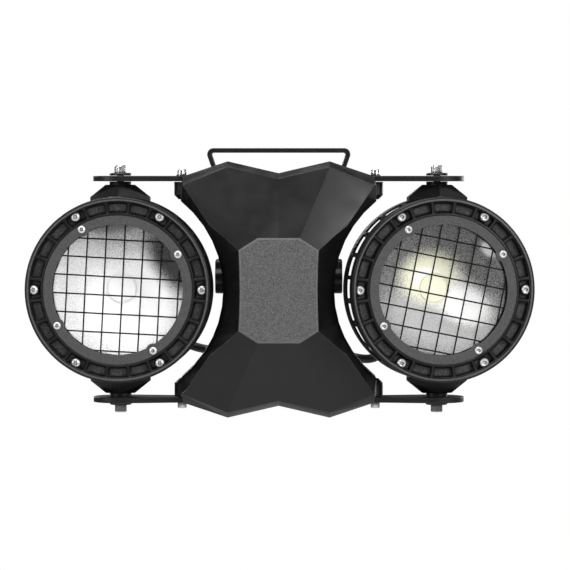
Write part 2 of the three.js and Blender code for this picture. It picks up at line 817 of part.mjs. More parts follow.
// Chassis: hourglass frame with a back wall, a step and a screw boss for each arm
function chassisFrame() {
  const back = chassis.depth;
  const window = roundedBox(chassis.windowWidth, chassis.windowHeight, chassis.wall, 2);
  let shape = plate(hourglass(0, true), chassisFront, back)
    .subtract(plate(hourglass(chassis.wall, true), chassisFront - overrun, back - chassis.backWall))
    .subtract(plate(window, 0, back + overrun));
  const { bossX, bossRadius, bossBottomZ, bossTaper, seatZ } = chassis;
  const boss = turned([
    [0, bossBottomZ],
    [bossRadius - bossTaper, bossBottomZ],
    [bossRadius, bossBottomZ + bossTaper],
    [bossRadius, seatZ],
    [0, seatZ],
  ], sides.pin);
  const hole = bar(chassis.screwHoleRadius, seatZ - chassis.screwHoleDepth, seatZ + overrun, sides.small);
  const inner = back - chassis.backWall;
  const glandHole = bar(gland.stemRadius + slideGap, inner - overrun, back + overrun, sides.pin);
  [-1, 1].forEach((side) => {
    [quarter, -quarter].forEach((turnX) => {
      const stand = { x: side * bossX, y: head.bodyDepth, turnX };
      shape = shape.add(placed(boss, stand)).subtract(placed(hole, stand));
    });
    shape = shape.subtract(placed(glandHole, { x: side * gland.bodyX, z: gland.bodyZ }));
  });
  return shape;
}

// Arm: a flat plate that widens from the step of the chassis to the pan axis
function armPlate(side) {
  const half = arm.width / 2;
  const middle = head.bodyDepth;
  const run = Math.hypot(head.panX - arm.neckX, half);
  const lean = Math.asin(arm.endRadius / run) - Math.atan2(half, head.panX - arm.neckX);
  const turn = quarter + lean;
  const round = arcPoints(head.panX, middle, arm.endRadius, -turn, turn, sides.round / 2);
  const points = [
    [arm.innerX, middle - half],
    [arm.neckX, middle - half],
    ...round,
    [arm.neckX, middle + half],
    [arm.innerX, middle + half],
  ].map(([x, y]) => [side * x, y]);
  const bushHole = circle(arm.bushHoleRadius, sides.pin, side * head.panX, middle);
  const screwHole = circle(arm.screwHoleRadius, sides.small, side * chassis.bossX, middle);
  return slab(points, armBottom, armTop)
    .subtract(slab(bushHole, armBottom - overrun, armTop + overrun))
    .subtract(slab(screwHole, armBottom - overrun, armTop + overrun));
}

// Bush: plain bearing in the arm with a flange on the outside
function pivotBush(side) {
  const at = (radius, count) => circle(radius, count, side * head.panX, head.bodyDepth);
  const flange = armTop + seatGap;
  const top = flange + pivot.flangeThickness;
  return slab(at(pivot.flangeRadius, sides.round), flange, top)
    .add(slab(at(arm.bushHoleRadius - slideGap, sides.pin), armBottom, flange + seatGap))
    .subtract(slab(at(pivot.screwRadius + slideGap, sides.pin), armBottom - overrun, top + overrun));
}

// Rear housing: box with the hubs of the tilt axis and the cut-outs of the panel
function rearHousing() {
  const inner = rearBack - rear.backWall;
  const outer = roundedBox(rear.width, rear.height, rear.cornerRadius, 2);
  const walls = 2 * rear.wall;
  const hollow = roundedBox(rear.width - walls, rear.height - walls, rear.cornerRadius - rear.wall, 2);
  let shape = plate(outer, rearFront, rearBack).subtract(plate(hollow, rearFront - overrun, inner));
  const half = rear.width / 2;
  const hub = bar(rear.hubRadius, half - rear.wall / 2, half + rear.hubHeight);
  const nut = bar(rear.nutRadius, half - rear.nutLength, half, sides.pin);
  const nutEnd = half - rear.nutLength - overrun;
  const bore = bar(knob.studRadius + slideGap, nutEnd, half + rear.hubHeight + overrun, sides.pin);
  [-1, 1].forEach((side) => {
    const lie = { y: rear.tiltDepth, z: rear.tiltZ, turnZ: -side * quarter };
    shape = shape.add(placed(hub.add(nut), lie)).subtract(placed(bore, lie));
  });
  const post = bar(panel.postRadius, inner - panel.postLength, rearBack - seatGap, sides.small);
  boardPosts().forEach(([x, z]) => {
    shape = shape.add(placed(post, { x, z }));
  });
  const cut = (tool) => {
    shape = shape.subtract(tool);
  };
  cut(plate(displayOutline(), inner - overrun, rearBack + overrun));
  const rebate = rearBack - panel.windowThickness - seatGap;
  const seat = boxAt(panel.windowWidth + 2 * seatGap, panel.windowHeight + 2 * seatGap, windowZ);
  cut(plate(seat, rebate, rearBack + overrun));
  const through = (radius, x, z, count) =>
    placed(bar(radius, inner - overrun, rearBack + overrun, count), { x, z });
  buttonPlaces().forEach((x) => cut(through(panel.buttonRadius + slideGap, x, buttonZ, sides.small)));
  socketPlaces().forEach(([x, z]) => cut(through(panel.barrelRadius + slideGap, x, z, sides.pin)));
  return shape;
}
function boxAt(width, height, z) {
  const [x, low, high] = [width / 2, z - height / 2, z + height / 2];
  return [[-x, low], [x, low], [x, high], [-x, high]];
}
function displayOutline() {
  return boxAt(panel.windowWidth - panel.windowFrame, panel.windowHeight - panel.windowFrame, windowZ);
}
function buttonPlaces() {
  return [0, 1, 2, 3].map((i) => (i - 3 / 2) * panel.buttonPitch);
}
function socketPlaces() {
  return [
    [-panel.socketX, socketHighZ],
    [-panel.socketX, socketLowZ],
    [panel.socketX, socketHighZ],
    [panel.socketX, socketLowZ],
  ];
}
function boardPosts() {
  const x = panel.boardWidth / 2 - panel.postInset;
  return [
    [-x, boardTopZ - panel.postInset],
    [x, boardTopZ - panel.postInset],
    [-x, boardBottomZ + panel.postInset],
    [x, boardBottomZ + panel.postInset],
  ];
}

// Board behind the panel, on the posts of the rear housing
function controlBoard() {
  const back = rearBack - rear.backWall - panel.postLength - seatGap;
  const height = boardTopZ - boardBottomZ;
  const middle = (boardTopZ + boardBottomZ) / 2;
  return plate(boxAt(panel.boardWidth, height, middle), back - panel.boardThickness, back)
    .add(plate(displayOutline(), back - panel.boardThickness, rearBack - rear.backWall));
}

function displayWindow() {
  const front = rearBack - panel.windowThickness;
  return plate(boxAt(panel.windowWidth, panel.windowHeight, windowZ), front, rearBack);
}

// Push button: stem through the panel, with a collar inside that keeps it in
function menuButton(x) {
  const inner = rearBack - rear.backWall - slideGap;
  const inside = inner - panel.buttonCollarThickness;
  const shape = bar(panel.buttonRadius, inside, rearBack + panel.buttonProud, sides.small)
    .add(bar(panel.buttonRadius + panel.buttonCollar, inside, inner, sides.small));
  return placed(shape, { x, z: buttonZ });
}

// Panel socket: square flange on the panel, barrel through it, open bore
function panelSocket([x, z], boreRadius) {
  const face = rearBack + seatGap;
  const top = face + panel.flangeThickness;
  const flange = roundedBox(panel.flangeWidth, panel.flangeHeight, panel.flangeRadius, 2);
  const shape = plate(flange, face, top)
    .add(bar(panel.barrelRadius, top - panel.barrelLength, face + seatGap, sides.pin))
    .subtract(bar(boreRadius, top - panel.boreDepth, top + overrun, sides.pin));
  return placed(shape, { x, z });
}

// Power supply case, on the back wall of the chassis round its window
function powerSupply() {
  const back = chassis.depth - chassis.backWall - seatGap;
  return plate(roundedBox(supply.width, supply.height, supply.bevel, 1), back - supply.depth, back);
}

// Points of a bent centre line, each inner corner rounded
function bentLine(points, radius, steps) {
  const line = [points[0]];
  points.slice(1, -1).forEach((point, i) => {
    const corner = new THREE.Vector2(...point);
    const before = new THREE.Vector2(...points[i]).sub(corner).normalize();
    const after = new THREE.Vector2(...points[i + 2]).sub(corner).normalize();
    const half = Math.acos(before.dot(after)) / 2;
    const reach = radius / Math.tan(half);
    const start = corner.clone().addScaledVector(before, reach);
    const end = corner.clone().addScaledVector(after, reach);
    const bisector = before.clone().add(after).normalize();
    const centre = corner.clone().addScaledVector(bisector, radius / Math.sin(half));
    for (let step = 0; step <= steps; step += 1) {
      const arm = start.clone().lerp(end, step / steps).sub(centre).setLength(radius);
      line.push(arm.add(centre).toArray());
    }
  });
  return [...line, points[points.length - 1]];
}

// A strip of even thickness along a line, as an outline
function strip(line, thickness) {
  const offset = (sign) =>
    line.map((point, i) => {
      const here = new THREE.Vector2(...point);
      const before = new THREE.Vector2(...line[Math.max(i - 1, 0)]);
      const after = new THREE.Vector2(...line[Math.min(i + 1, line.length - 1)]);
      const along = after.clone().sub(before).normalize();
      return [here.x - (sign * along.y * thickness) / 2, here.y + (sign * along.x * thickness) / 2];
    });
  return [...offset(1), ...offset(-1).reverse()];
}

// Yoke, measured from the tilt axis: straight feet, legs that spread upwards, flat top bar
function yokeBracket() {
  const half = yoke.barThickness / 2;
  const footX = yoke.legInnerX + half;
  const topX = yoke.topWidth / 2 - half;
  const topZ = yoke.rise - half;
  const right = [[footX, -yoke.barWidth], [footX, yoke.footLength], [topX, topZ]];
  const left = [...right].reverse().map(([x, z]) => [-x, z]);
  const line = bentLine([...right, ...left], yoke.bendRadius + half, sides.bend);
  const bent = plate(strip(line, yoke.barThickness), -yoke.barWidth / 2, yoke.barWidth / 2);
  const reach = yoke.topWidth + yoke.rise;
  const round = yoke.barWidth / 2;
  const foot = arcPoints(0, 0, round, Math.PI, 2 * Math.PI, sides.small);
  const profile = [...foot, [round, reach], [-round, reach]];
  const side = placed(plate(profile, -reach, reach), { turnZ: quarter });
  const tiltHole = placed(bar(knob.studRadius + slideGap, -reach, reach, sides.pin), { turnZ: quarter });
  const clampHole = slab(circle(yoke.clampHoleRadius, sides.round), topZ - 2 * half, yoke.rise + overrun);
  return bent.intersect(side).subtract(tiltHole).subtract(clampHole);
}

// Lock knob about its axis, measured outwards from the middle of the body
function lockKnob(side) {
  const legFace = yoke.legInnerX + yoke.barThickness + seatGap;
  const grip = Array.from({ length: knob.lobes * knob.stepsPerLobe }, (_, i) => {
    const angle = (i * 2 * Math.PI) / (knob.lobes * knob.stepsPerLobe);
    const radius = knob.radius - knob.bevel + knob.lobe * Math.cos(knob.lobes * angle);
    return [radius * Math.cos(angle), radius * Math.sin(angle)];
  });
  const head = new THREE.ExtrudeGeometry(shapeOf(grip), {
    depth: knob.gripLength - 2 * knob.bevel,
    bevelThickness: knob.bevel,
    bevelSize: knob.bevel,
    bevelSegments: 1,
  });
  const half = rear.width / 2;
  const shape = solid(head.rotateX(-quarter).translate(0, knob.outerX - knob.gripLength + knob.bevel, 0))
    .add(bar(knob.neckRadius, legFace, knob.outerX - knob.bevel))
    .add(bar(knob.studRadius, half + rear.hubHeight - knob.studLength, legFace + seatGap, sides.pin));
  return placed(shape, { turnZ: -side * quarter });
}

// Everything is placed in the frame of the body's middle at the joint face, and that in the yoke's frame
const blinder = new THREE.Group();
const tilt = new THREE.Group();
tilt.position.z = -yoke.rise;
blinder.add(tilt);
const body = new THREE.Group();
body.position.set(0, -rear.tiltDepth, -rear.tiltZ);
tilt.add(body);

const bracket = part("yoke", yokeBracket(), looks.blackPaint);
tilt.add(bracket);

function addKnob(name, side) {
  tilt.add(part(name, lockKnob(side), looks.plastic));
}
addKnob("left_lock_knob", -1);
addKnob("right_lock_knob", 1);

body.add(
  part("front_cover", frontCover(), looks.castPaint),
  part("cover_gasket", coverGasket(), looks.rubber),
  part("chassis", chassisFrame(), looks.blackPaint),
  part("rear_housing", rearHousing(), looks.blackPaint),
  part("power_supply", powerSupply(), looks.sheet),
  part("control_board", controlBoard(), looks.board),
  part("display_window", displayWindow(), looks.glass),
);
["menu_button", "down_button", "up_button", "enter_button"].forEach((name, i) => {
  body.add(part(name, menuButton(buttonPlaces()[i]), looks.plastic));
});
["power_inlet", "power_outlet", "data_inlet", "data_outlet"].forEach((name, i) => {
  const bore = i < 2 ? panel.powerBoreRadius : panel.dataBoreRadius;
  body.add(part(name, panelSocket(socketPlaces()[i], bore), looks.plastic));
});

// Arms, bushes and the gland of one side of the body
function addSide(sideName, side) {
  body.add(
    part(`${sideName}_top_arm`, armPlate(side), looks.blackPaint),
    part(`${sideName}_bottom_arm`, placed(armPlate(-side), { turnY: Math.PI }), looks.blackPaint),
    part(`${sideName}_top_bush`, pivotBush(side), looks.plastic),
    part(`${sideName}_bottom_bush`, placed(pivotBush(-side), { turnY: Math.PI }), looks.plastic),
    part(
      `${sideName}_body_gland`,
      placed(cableGland(chassis.depth), { x: side * gland.bodyX, z: gland.bodyZ }),
      looks.plastic,
    ),
    part(`${sideName}_lead`, leadTube(leadRoutes[sideName], side), looks.rubber),
  );
}

// One lamp head, in a group that turns about the pan axis
function addHead(sideName, side) {
  const pan = new THREE.Group();
  pan.position.set(side * head.panX, head.bodyDepth, 0);
  pan.rotation.z = side * head.restAngles[sideName] * degree;
  const lamp = new THREE.Group();
  lamp.position.y = -head.panDepth;
  const inward = -side;
  const capBack = drum.backDepth + seatGap + cap.depth;
  const glandPlace = { x: inward * cap.glandX, z: cap.glandZ };
  const add = (name, shape, look) => lamp.add(part(`${sideName}_${name}`, shape, look));
  add("bezel_ring", bezelRing(), looks.castPaint);
  add("retaining_ring", retainingRing(), looks.greyPlate);
  add("mesh_guard", meshGuard(mesh.turns[sideName]), looks.darkWire);
  add("glass", frontGlass(), looks.glass);
  add("lens_gasket", lensGasket(), looks.rubber);
  add("reflector", reflectorBowl(), looks.reflector);
  add("cob_led", ledModule(), looks.chip);
  add("drum_housing", drumHousing(), looks.castPaint);
  add("rear_cap", rearCap(inward), looks.blackPaint);
  add("top_lug", pivotLug(1), looks.blackPaint);
  add("bottom_lug", pivotLug(-1), looks.blackPaint);
  add("top_pivot_screw", pivotScrew(1), looks.steel);
  add("bottom_pivot_screw", pivotScrew(-1), looks.steel);
  add("head_gland", placed(cableGland(capBack), glandPlace), looks.plastic);
  pan.add(lamp);
  body.add(pan);
}
[["left", -1], ["right", 1]].forEach(([sideName, side]) => {
  addSide(sideName, side);
  addHead(sideName, side);
});

export default blinder;
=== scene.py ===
import math

import bmesh
import bpy
from mathutils import Euler, Matrix, Vector


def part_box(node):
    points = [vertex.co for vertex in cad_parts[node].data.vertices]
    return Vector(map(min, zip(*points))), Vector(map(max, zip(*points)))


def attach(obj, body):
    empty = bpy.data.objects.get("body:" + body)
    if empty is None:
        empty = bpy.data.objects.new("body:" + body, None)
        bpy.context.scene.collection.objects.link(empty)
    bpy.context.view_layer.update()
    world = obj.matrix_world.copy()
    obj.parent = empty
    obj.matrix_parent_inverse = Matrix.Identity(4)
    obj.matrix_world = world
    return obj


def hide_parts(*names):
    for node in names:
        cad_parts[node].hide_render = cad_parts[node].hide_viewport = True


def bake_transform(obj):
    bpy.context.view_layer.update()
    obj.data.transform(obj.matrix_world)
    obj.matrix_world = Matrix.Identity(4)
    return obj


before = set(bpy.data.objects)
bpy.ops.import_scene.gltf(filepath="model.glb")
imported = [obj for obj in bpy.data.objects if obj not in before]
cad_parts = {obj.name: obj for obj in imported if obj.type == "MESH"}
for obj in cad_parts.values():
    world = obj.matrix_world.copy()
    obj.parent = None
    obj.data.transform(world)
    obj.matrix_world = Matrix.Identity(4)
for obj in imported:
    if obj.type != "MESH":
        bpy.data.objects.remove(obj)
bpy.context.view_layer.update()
mm = 0.001
sides = {"left": -1, "right": 1}
print("frame loaded")

# Where the bodies of the light are, read from the frame
coverLow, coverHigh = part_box("front_cover")
bodyMiddle = Vector((0, coverHigh.y, (coverLow.z + coverHigh.z) / 2))
bushLow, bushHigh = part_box("right_top_bush")
panAxis = (bushLow + bushHigh) / 2
knobLow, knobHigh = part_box("right_lock_knob")
tiltAxis = Vector((0, (knobLow.y + knobHigh.y) / 2, (knobLow.z + knobHigh.z) / 2))
headPose = {
    "panDepth": 42,  # of the pan axis behind the front rim
    "restAngle": {"left": 2, "right": 8},  # degrees, turned outwards
}
bodyPlace = Matrix.Translation(bodyMiddle) @ Matrix.Scale(mm, 4)
tiltPlace = Matrix.Translation(tiltAxis) @ Matrix.Scale(mm, 4)


def headPlace(side):
    sign = sides[side]
    axis = Vector((sign * panAxis.x, panAxis.y, bodyMiddle.z))
    turn = Matrix.Rotation(math.radians(sign * headPose["restAngle"][side]), 4, "Z")
    back = Matrix.Translation((0, -headPose["panDepth"] * mm, 0))
    return Matrix.Translation(axis) @ turn @ back @ Matrix.Scale(mm, 4)


# Small tools for meshes, in degrees and millimetres
meshRules = {"sharpAngle": 32, "weld": 0.002, "sliver": 0.001, "filletShare": 0.49}


def asPiece(name, mesh):
    piece = bpy.data.objects.new(name, mesh)
    bpy.context.scene.collection.objects.link(piece)
    return piece


def smoothed(mesh):
    mesh.shade_smooth()
    mesh.set_sharp_from_angle(angle=math.radians(meshRules["sharpAngle"]))


def meshed(name, shape):
    mesh = bpy.data.meshes.new(name)
    shape.to_mesh(mesh)
    shape.free()
    smoothed(mesh)
    return asPiece(name, mesh)


def sealed(name, shape):
    bmesh.ops.remove_doubles(shape, verts=shape.verts, dist=meshRules["weld"])
    bmesh.ops.dissolve_degenerate(shape, edges=shape.edges, dist=meshRules["sliver"])
    bmesh.ops.recalc_face_normals(shape, faces=shape.faces)
    return meshed(name, shape)


def plain(piece):  # the evaluated mesh takes the place of the modifiers
    bpy.context.view_layer.update()
    graph = bpy.context.evaluated_depsgraph_get()
    mesh = bpy.data.meshes.new_from_object(
        piece.evaluated_get(graph), preserve_all_data_layers=True, depsgraph=graph
    )
    if piece.type == "MESH":
        piece.modifiers.clear()
        piece.data = mesh
        return piece
    name = piece.name
    bpy.data.objects.remove(piece)
    return asPiece(name, mesh)


def bridged(shape, first, second, closed=True):
    # Faces between two rows of points
    for i in range(len(first) if closed else len(first) - 1):
        j = (i + 1) % len(first)
        shape.faces.new((first[i], first[j], second[j], second[i]))


def polar(radius, depth, angle):
    return radius * math.cos(angle), depth, radius * math.sin(angle)


def turned(name, profile, steps, closed=False):
    # A solid turned about Y from [radius, depth] points; a radius may depend on the angle
    shape = bmesh.new()
    rings = []
    for step in range(steps):
        angle = 2 * math.pi * step / steps
        reaches = [radius(angle) if callable(radius) else radius for radius, depth in profile]
        points = [polar(reach, depth, angle) for reach, (radius, depth) in zip(reaches, profile)]
        rings.append([shape.verts.new(point) for point in points])
    for here, there in zip(rings, rings[1:] + rings[:1]):
        bridged(shape, here, there, closed)
    return sealed(name, shape)


def arcPoints(centreX, centreY, radius, start, end, steps):
    points = []
    for i in range(steps + 1):
        angle = start + (end - start) * i / steps
        points.append((centreX + radius * math.cos(angle), centreY + radius * math.sin(angle)))
    return points


def roundedRectangle(width, height, radius, steps=8, y=0):
    points = []
    for i, (signX, signY) in enumerate([(1, 1), (-1, 1), (-1, -1), (1, -1)]):
        centreX = signX * (width / 2 - radius)
        centreY = y + signY * (height / 2 - radius)
        start = i * math.pi / 2
        points += arcPoints(centreX, centreY, radius, start, start + math.pi / 2, steps)
    return points


def circle(radius, steps, x=0, y=0):
    return arcPoints(x, y, radius, 0, 2 * math.pi, steps)[1:]


def filleted(points, radius, steps=4, closed=False):
    # The same line with its corners rounded, each by no more than its edges allow
    result = [] if closed else [points[0]]
    corners = range(len(points)) if closed else range(1, len(points) - 1)
    for i in corners:
        corner = Vector(points[i])
        before = Vector(points[i - 1]) - corner
        after = Vector(points[(i + 1) % len(points)]) - corner
        half = before.angle(after) / 2
        shorter = min(before.length, after.length)
        reach = min(radius / math.tan(half), shorter * meshRules["filletShare"])
        start = corner + before.normalized() * reach
        end = corner + after.normalized() * reach
        for step in range(steps + 1):
            share = step / steps
            result.append(tuple(start.lerp(corner, share).lerp(corner.lerp(end, share), share)))
    return result if closed else result + [points[-1]]


def extruded(name, outline, start, end, axis="Y"):
    # An outline drawn across the axis, as deep as from start to end
    order = {"X": (2, 0, 1), "Y": (0, 2, 1), "Z": (0, 1, 2)}[axis]
    shape = bmesh.new()
    loops = []
    for level in (start, end):
        points = [(*point, level) for point in outline]
        loops.append([shape.verts.new([point[i] for i in order]) for point in points])
    bridged(shape, *loops)
    shape.faces.new(loops[0])
    shape.faces.new(loops[1])
    return sealed(name, shape)


def combined(piece, tools, operation="DIFFERENCE"):
    for tool in tools:
        change = piece.modifiers.new("combine", "BOOLEAN")
        change.operation = operation
        change.solver = "EXACT"
        change.object = tool
    plain(piece)
    for tool in tools:
        bpy.data.objects.remove(tool)
    smoothed(piece.data)
    return piece


def eased(piece, width, segments=2, limit=32):
    # Edges broken by a small radius, as on a casting or a cut plate
    bevel = piece.modifiers.new("eased", "BEVEL")
    bevel.width = width
    bevel.segments = segments
    bevel.limit_method = "ANGLE"
    bevel.angle_limit = math.radians(limit)
    bevel.harden_normals = True
    return plain(piece)


def copied(name, node, place, flat=1.5):
    # A merged copy of a node of the frame, in the millimetres of its own place
    shape = bmesh.new()
    shape.from_mesh(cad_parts[node].data)
    bmesh.ops.transform(shape, matrix=place.inverted(), verts=shape.verts)
    bmesh.ops.remove_doubles(shape, verts=shape.verts, dist=2 * meshRules["weld"])
    bmesh.ops.dissolve_limit(
        shape, angle_limit=math.radians(flat), verts=shape.verts, edges=shape.edges
    )
    return meshed(name, shape)


def joined(name, pieces):
    # Several solids as one piece
    shape = bmesh.new()
    for piece in pieces:
        shape.from_mesh(piece.data)
        bpy.data.objects.remove(piece)
    return meshed(name, shape)


def moved(piece, x=0, y=0, z=0, turn=(0, 0, 0)):
    piece.data.transform(Matrix.Translation((x, y, z)) @ Euler(turn).to_matrix().to_4x4())
    return piece


# A finished piece in its place on a body, in place of a node of the frame where it has one
materials = {}


def fit(piece, place, body, finish, node=None):
    piece.data.transform(place)
    piece.data.materials.clear()
    piece.data.materials.append(materials[finish])
    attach(piece, body)
    if node:
        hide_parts(node)


def onHead(side, piece, finish, node=None):
    fit(piece, headPlace(side), f"{side}_head", finish, node and f"{side}_{node}")


def onBody(piece, finish, node=None):
    fit(piece, bodyPlace, "body", finish, node)


# Nodes of a tree: settings are set on the node, inputs take a value or another node's output
def put(tree, kind, inputs=None, **settings):
    node = tree.nodes.new(kind)
    for key, value in settings.items():
        setattr(node, key, value)
    for key, value in (inputs or {}).items():
        if isinstance(value, bpy.types.NodeSocket):
            tree.links.new(value, node.inputs[key])
        else:
            node.inputs[key].default_value = value
    return node.outputs


def calc(tree, operation, *values):
    return put(tree, "ShaderNodeMath", dict(enumerate(values)), operation=operation)[0]


def remapped(tree, value, start, end, low=0.0, high=1.0, **settings):
    return put(tree, "ShaderNodeMapRange", {
        "Value": value, "From Min": start, "From Max": end, "To Min": low, "To Max": high}, **settings)[0]


def newTree(name, kind, inputs, outputs):
    tree = bpy.data.node_groups.new(name, kind)
    for label, socketType, value in inputs:
        socket = tree.interface.new_socket(label, in_out="INPUT", socket_type="NodeSocket" + socketType)
        if value is not None:
            socket.default_value = value
    for label, socketType in outputs:
        tree.interface.new_socket(label, in_out="OUTPUT", socket_type="NodeSocket" + socketType)
    return tree, tree.nodes.new("NodeGroupInput").outputs, tree.nodes.new("NodeGroupOutput").inputs


def newShapeTree(name, inputs):
    return newTree(name, "GeometryNodeTree", inputs + [("Material", "Material", None)],
                   [("Geometry", "Geometry")])


def endShapeTree(tree, given, out, geometry, weld=None):
    real = put(tree, "GeometryNodeRealizeInstances", {0: geometry})[0]
    if weld:
        real = put(tree, "GeometryNodeMergeByDistance", {"Geometry": real, "Distance": weld})[0]
    skin = put(tree, "GeometryNodeSetMaterial", {"Geometry": real, "Material": given["Material"]})
    tree.links.new(skin[0], out[0])
    return tree


def swept(tree, path, section, caps=True):
    return put(tree, "GeometryNodeCurveToMesh", {
        "Curve": path, "Profile Curve": section, "Fill Caps": caps})[0]


def grown(piece, tree, finish, values):
    # Runs a geometry tree on the piece, its inputs given by name and set by identifier
    values = {**values, "Material": materials[finish]}
    change = piece.modifiers.new(tree.name, "NODES")
    change.node_group = tree
    for item in tree.interface.items_tree:
        if item.item_type == "SOCKET" and item.in_out == "INPUT" and item.name in values:
            change[item.identifier] = values[item.name]
    piece = plain(piece)
    smoothed(piece.data)
    return piece


# Camera: the photograph's view, a long lens a little above the middle of the light
camera = {
    "lens": 200, "width": 0.627, "aimX": 0.007, "aimZ": 0.005, "elevation": 2, "sensor": 36, "reach": 50,
}


def makeCamera():
    lens = bpy.data.cameras.new("camera")
    lens.lens = camera["lens"]
    lens.sensor_width = camera["sensor"]
    lens.clip_end = camera["reach"]
    eye = asPiece("camera", lens)
    tilt = math.radians(camera["elevation"])
    distance = camera["width"] * camera["lens"] / camera["sensor"]
    aim = bodyMiddle + Vector((camera["aimX"], 0, camera["aimZ"]))
    eye.location = aim + distance * Vector((0, -math.cos(tilt), math.sin(tilt)))
    eye.rotation_euler = (math.pi / 2 - tilt, 0, 0)
    bpy.context.scene.camera = eye
    bpy.context.scene.view_settings.view_transform = "Standard"


makeCamera()
print("camera placed")


# Studio: soft boxes, white surroundings, pale floor below
studio = {
    "ambient": 0.16,
    "mirrored": 0.12,
    "floorZ": -1.2,
    "floorSize": 9,
    "floorColour": (0.62, 0.62, 0.62, 1),
    "softBoxes": [  # place, size, watts, seen in reflections
        ((-0.3, -0.35, 2.0), 1.4, 40, True),
        ((1.75, -1.9, 0.85), 1.1, 38, True),
        ((-2.1, -1.5, 0.45), 1.0, 18, True),
        ((0.0, -3.2, 0.1), 1.0, 26, False),
        ((-1.3, 2.4, 0.9), 1.3, 36, True),
        ((1.7, 2.0, 0.3), 1.2, 24, True),
    ],
}


def cleared(item):  # a material or a world with an empty tree
    item.use_nodes = True
    item.node_tree.nodes.clear()
    return item.node_tree


def shown(tree, shader, kind="Material"):
    out = tree.nodes.new("ShaderNodeOutput" + kind)
    tree.links.new(shader, out.inputs[0])


def blended(tree, share, first, second):
    return put(tree, "ShaderNodeMixShader", {0: share, 1: first, 2: second})[0]


def makeSoftBoxes():
    for i, (place, size, watts, mirrored) in enumerate(studio["softBoxes"]):
        lamp = bpy.data.lights.new(f"softBox{i}", "AREA")
        lamp.shape = "SQUARE"
        lamp.size = size
        lamp.energy = watts
        box = asPiece(f"softBox{i}", lamp)
        box.location = place
        box.visible_glossy = mirrored
        box.visible_transmission = mirrored
        box.rotation_euler = (Vector(place) - bodyMiddle).to_track_quat("Z", "Y").to_euler()


def makeSurroundings():
    # White to the camera and through glass, dimmer as light and in reflections
    world = bpy.data.worlds.new("surroundings")
    bpy.context.scene.world = world
    tree = cleared(world)
    path = put(tree, "ShaderNodeLightPath")
    dim = remapped(tree, path["Is Glossy Ray"], 0.0, 1.0, studio["ambient"], studio["mirrored"])
    seen = calc(tree, "MAXIMUM", path["Is Camera Ray"], path["Is Transmission Ray"])
    strength = calc(tree, "MAXIMUM", seen, dim)
    sky = put(tree, "ShaderNodeBackground", {"Color": (1, 1, 1, 1), "Strength": strength})
    shown(tree, sky[0], "World")


def makeFloor():
    # Pale from above, not seen from below
    shape = bmesh.new()
    half = studio["floorSize"] / 2
    corners = [(-half, -half), (half, -half), (half, half), (-half, half)]
    shape.faces.new([shape.verts.new((x, y, studio["floorZ"])) for x, y in corners])
    floor = meshed("floor", shape)
    material = bpy.data.materials.new("paleFloor")
    tree = cleared(material)
    cover = put(tree, "ShaderNodeBsdfDiffuse", {"Color": studio["floorColour"]})
    clear = put(tree, "ShaderNodeBsdfTransparent")
    under = put(tree, "ShaderNodeNewGeometry")["Backfacing"]
    shown(tree, blended(tree, under, cover[0], clear[0]))
    floor.data.materials.append(material)


makeSoftBoxes()
makeSurroundings()
makeFloor()
print("studio lit")


# Effects that several finishes share
def tone(level, warmth=0.0):
    # A grey written as 0-255 on screen, a little warmer or cooler
    def linear(value):
        value = min(max(value, 0), 255) / 255
        return value / 12.92 if value <= 0.04045 else ((value + 0.055) / 1.055) ** 2.4
    return (linear(level * (1 + warmth)), linear(level), linear(level * (1 - warmth)), 1)


effects = {  # pairs are the values that give 0 and 1
    "grainDetail": 3.0, "grainRoughness": 0.6, "patches": (0.35, 0.65),
    "bevelSamples": 4, "turned": (0.992, 0.93), "broken": (0.15, 0.5),
    "facing": (0.35, 1.0), "dustDetail": 4.0, "dustSpots": (0.4, 0.7),
    "openSamples": 6, "closed": (0.92, 0.5), "paintedLightFade": (1.7, 1.0),
}


def newEffect(name, inputs, outputs):
    return newTree(name, "ShaderNodeTree", inputs, [(label, "Float") for label in outputs])


def noise(tree, scale, detail=2.0, roughness=0.5):
    where = put(tree, "ShaderNodeTexCoord")["Object"]
    return put(tree, "ShaderNodeTexNoise", {
        "Vector": where, "Scale": scale, "Detail": detail, "Roughness": roughness})[0]


def makeGrainGroup():
    # Fine and coarse noise: a height for bumps, a mask for colour and patches for roughness
    tree, given, out = newEffect(
        "paintGrain",
        [("Scale", "Float", 900.0), ("Coarse Scale", "Float", 40.0), ("Contrast", "Float", 0.5)],
        ["Height", "Mask", "Patches"],
    )
    fine = noise(tree, given["Scale"], effects["grainDetail"], effects["grainRoughness"])
    low = calc(tree, "MULTIPLY", given["Contrast"], 0.5)
    mask = remapped(tree, fine, calc(tree, "SUBTRACT", 0.5, low), calc(tree, "ADD", 0.5, low))
    patches = remapped(tree, noise(tree, given["Coarse Scale"]), *effects["patches"])
    tree.links.new(fine, out["Height"])
    tree.links.new(mask, out["Mask"])
    tree.links.new(patches, out["Patches"])
    return tree


def makeEdgeWearAndHighlightGroup():
    # 1 where the surface turns sharply, 0 on flats: edges lightened partly as wear, partly as painted
    # highlight
    tree, given, out = newEffect(
        "edgeWearAndHighlight", [("Radius", "Float", 0.0006), ("Scale", "Float", 300.0)], ["Mask"]
    )
    soft = put(tree, "ShaderNodeBevel", {"Radius": given["Radius"]}, samples=effects["bevelSamples"])[0]
    plainNormal = put(tree, "ShaderNodeNewGeometry")["Normal"]
    same = put(tree, "ShaderNodeVectorMath", {0: soft, 1: plainNormal}, operation="DOT_PRODUCT")["Value"]
    turn = remapped(tree, same, *effects["turned"])
    broken = remapped(tree, noise(tree, given["Scale"]), *effects["broken"])
    tree.links.new(calc(tree, "MULTIPLY", turn, broken), out["Mask"])
    return tree


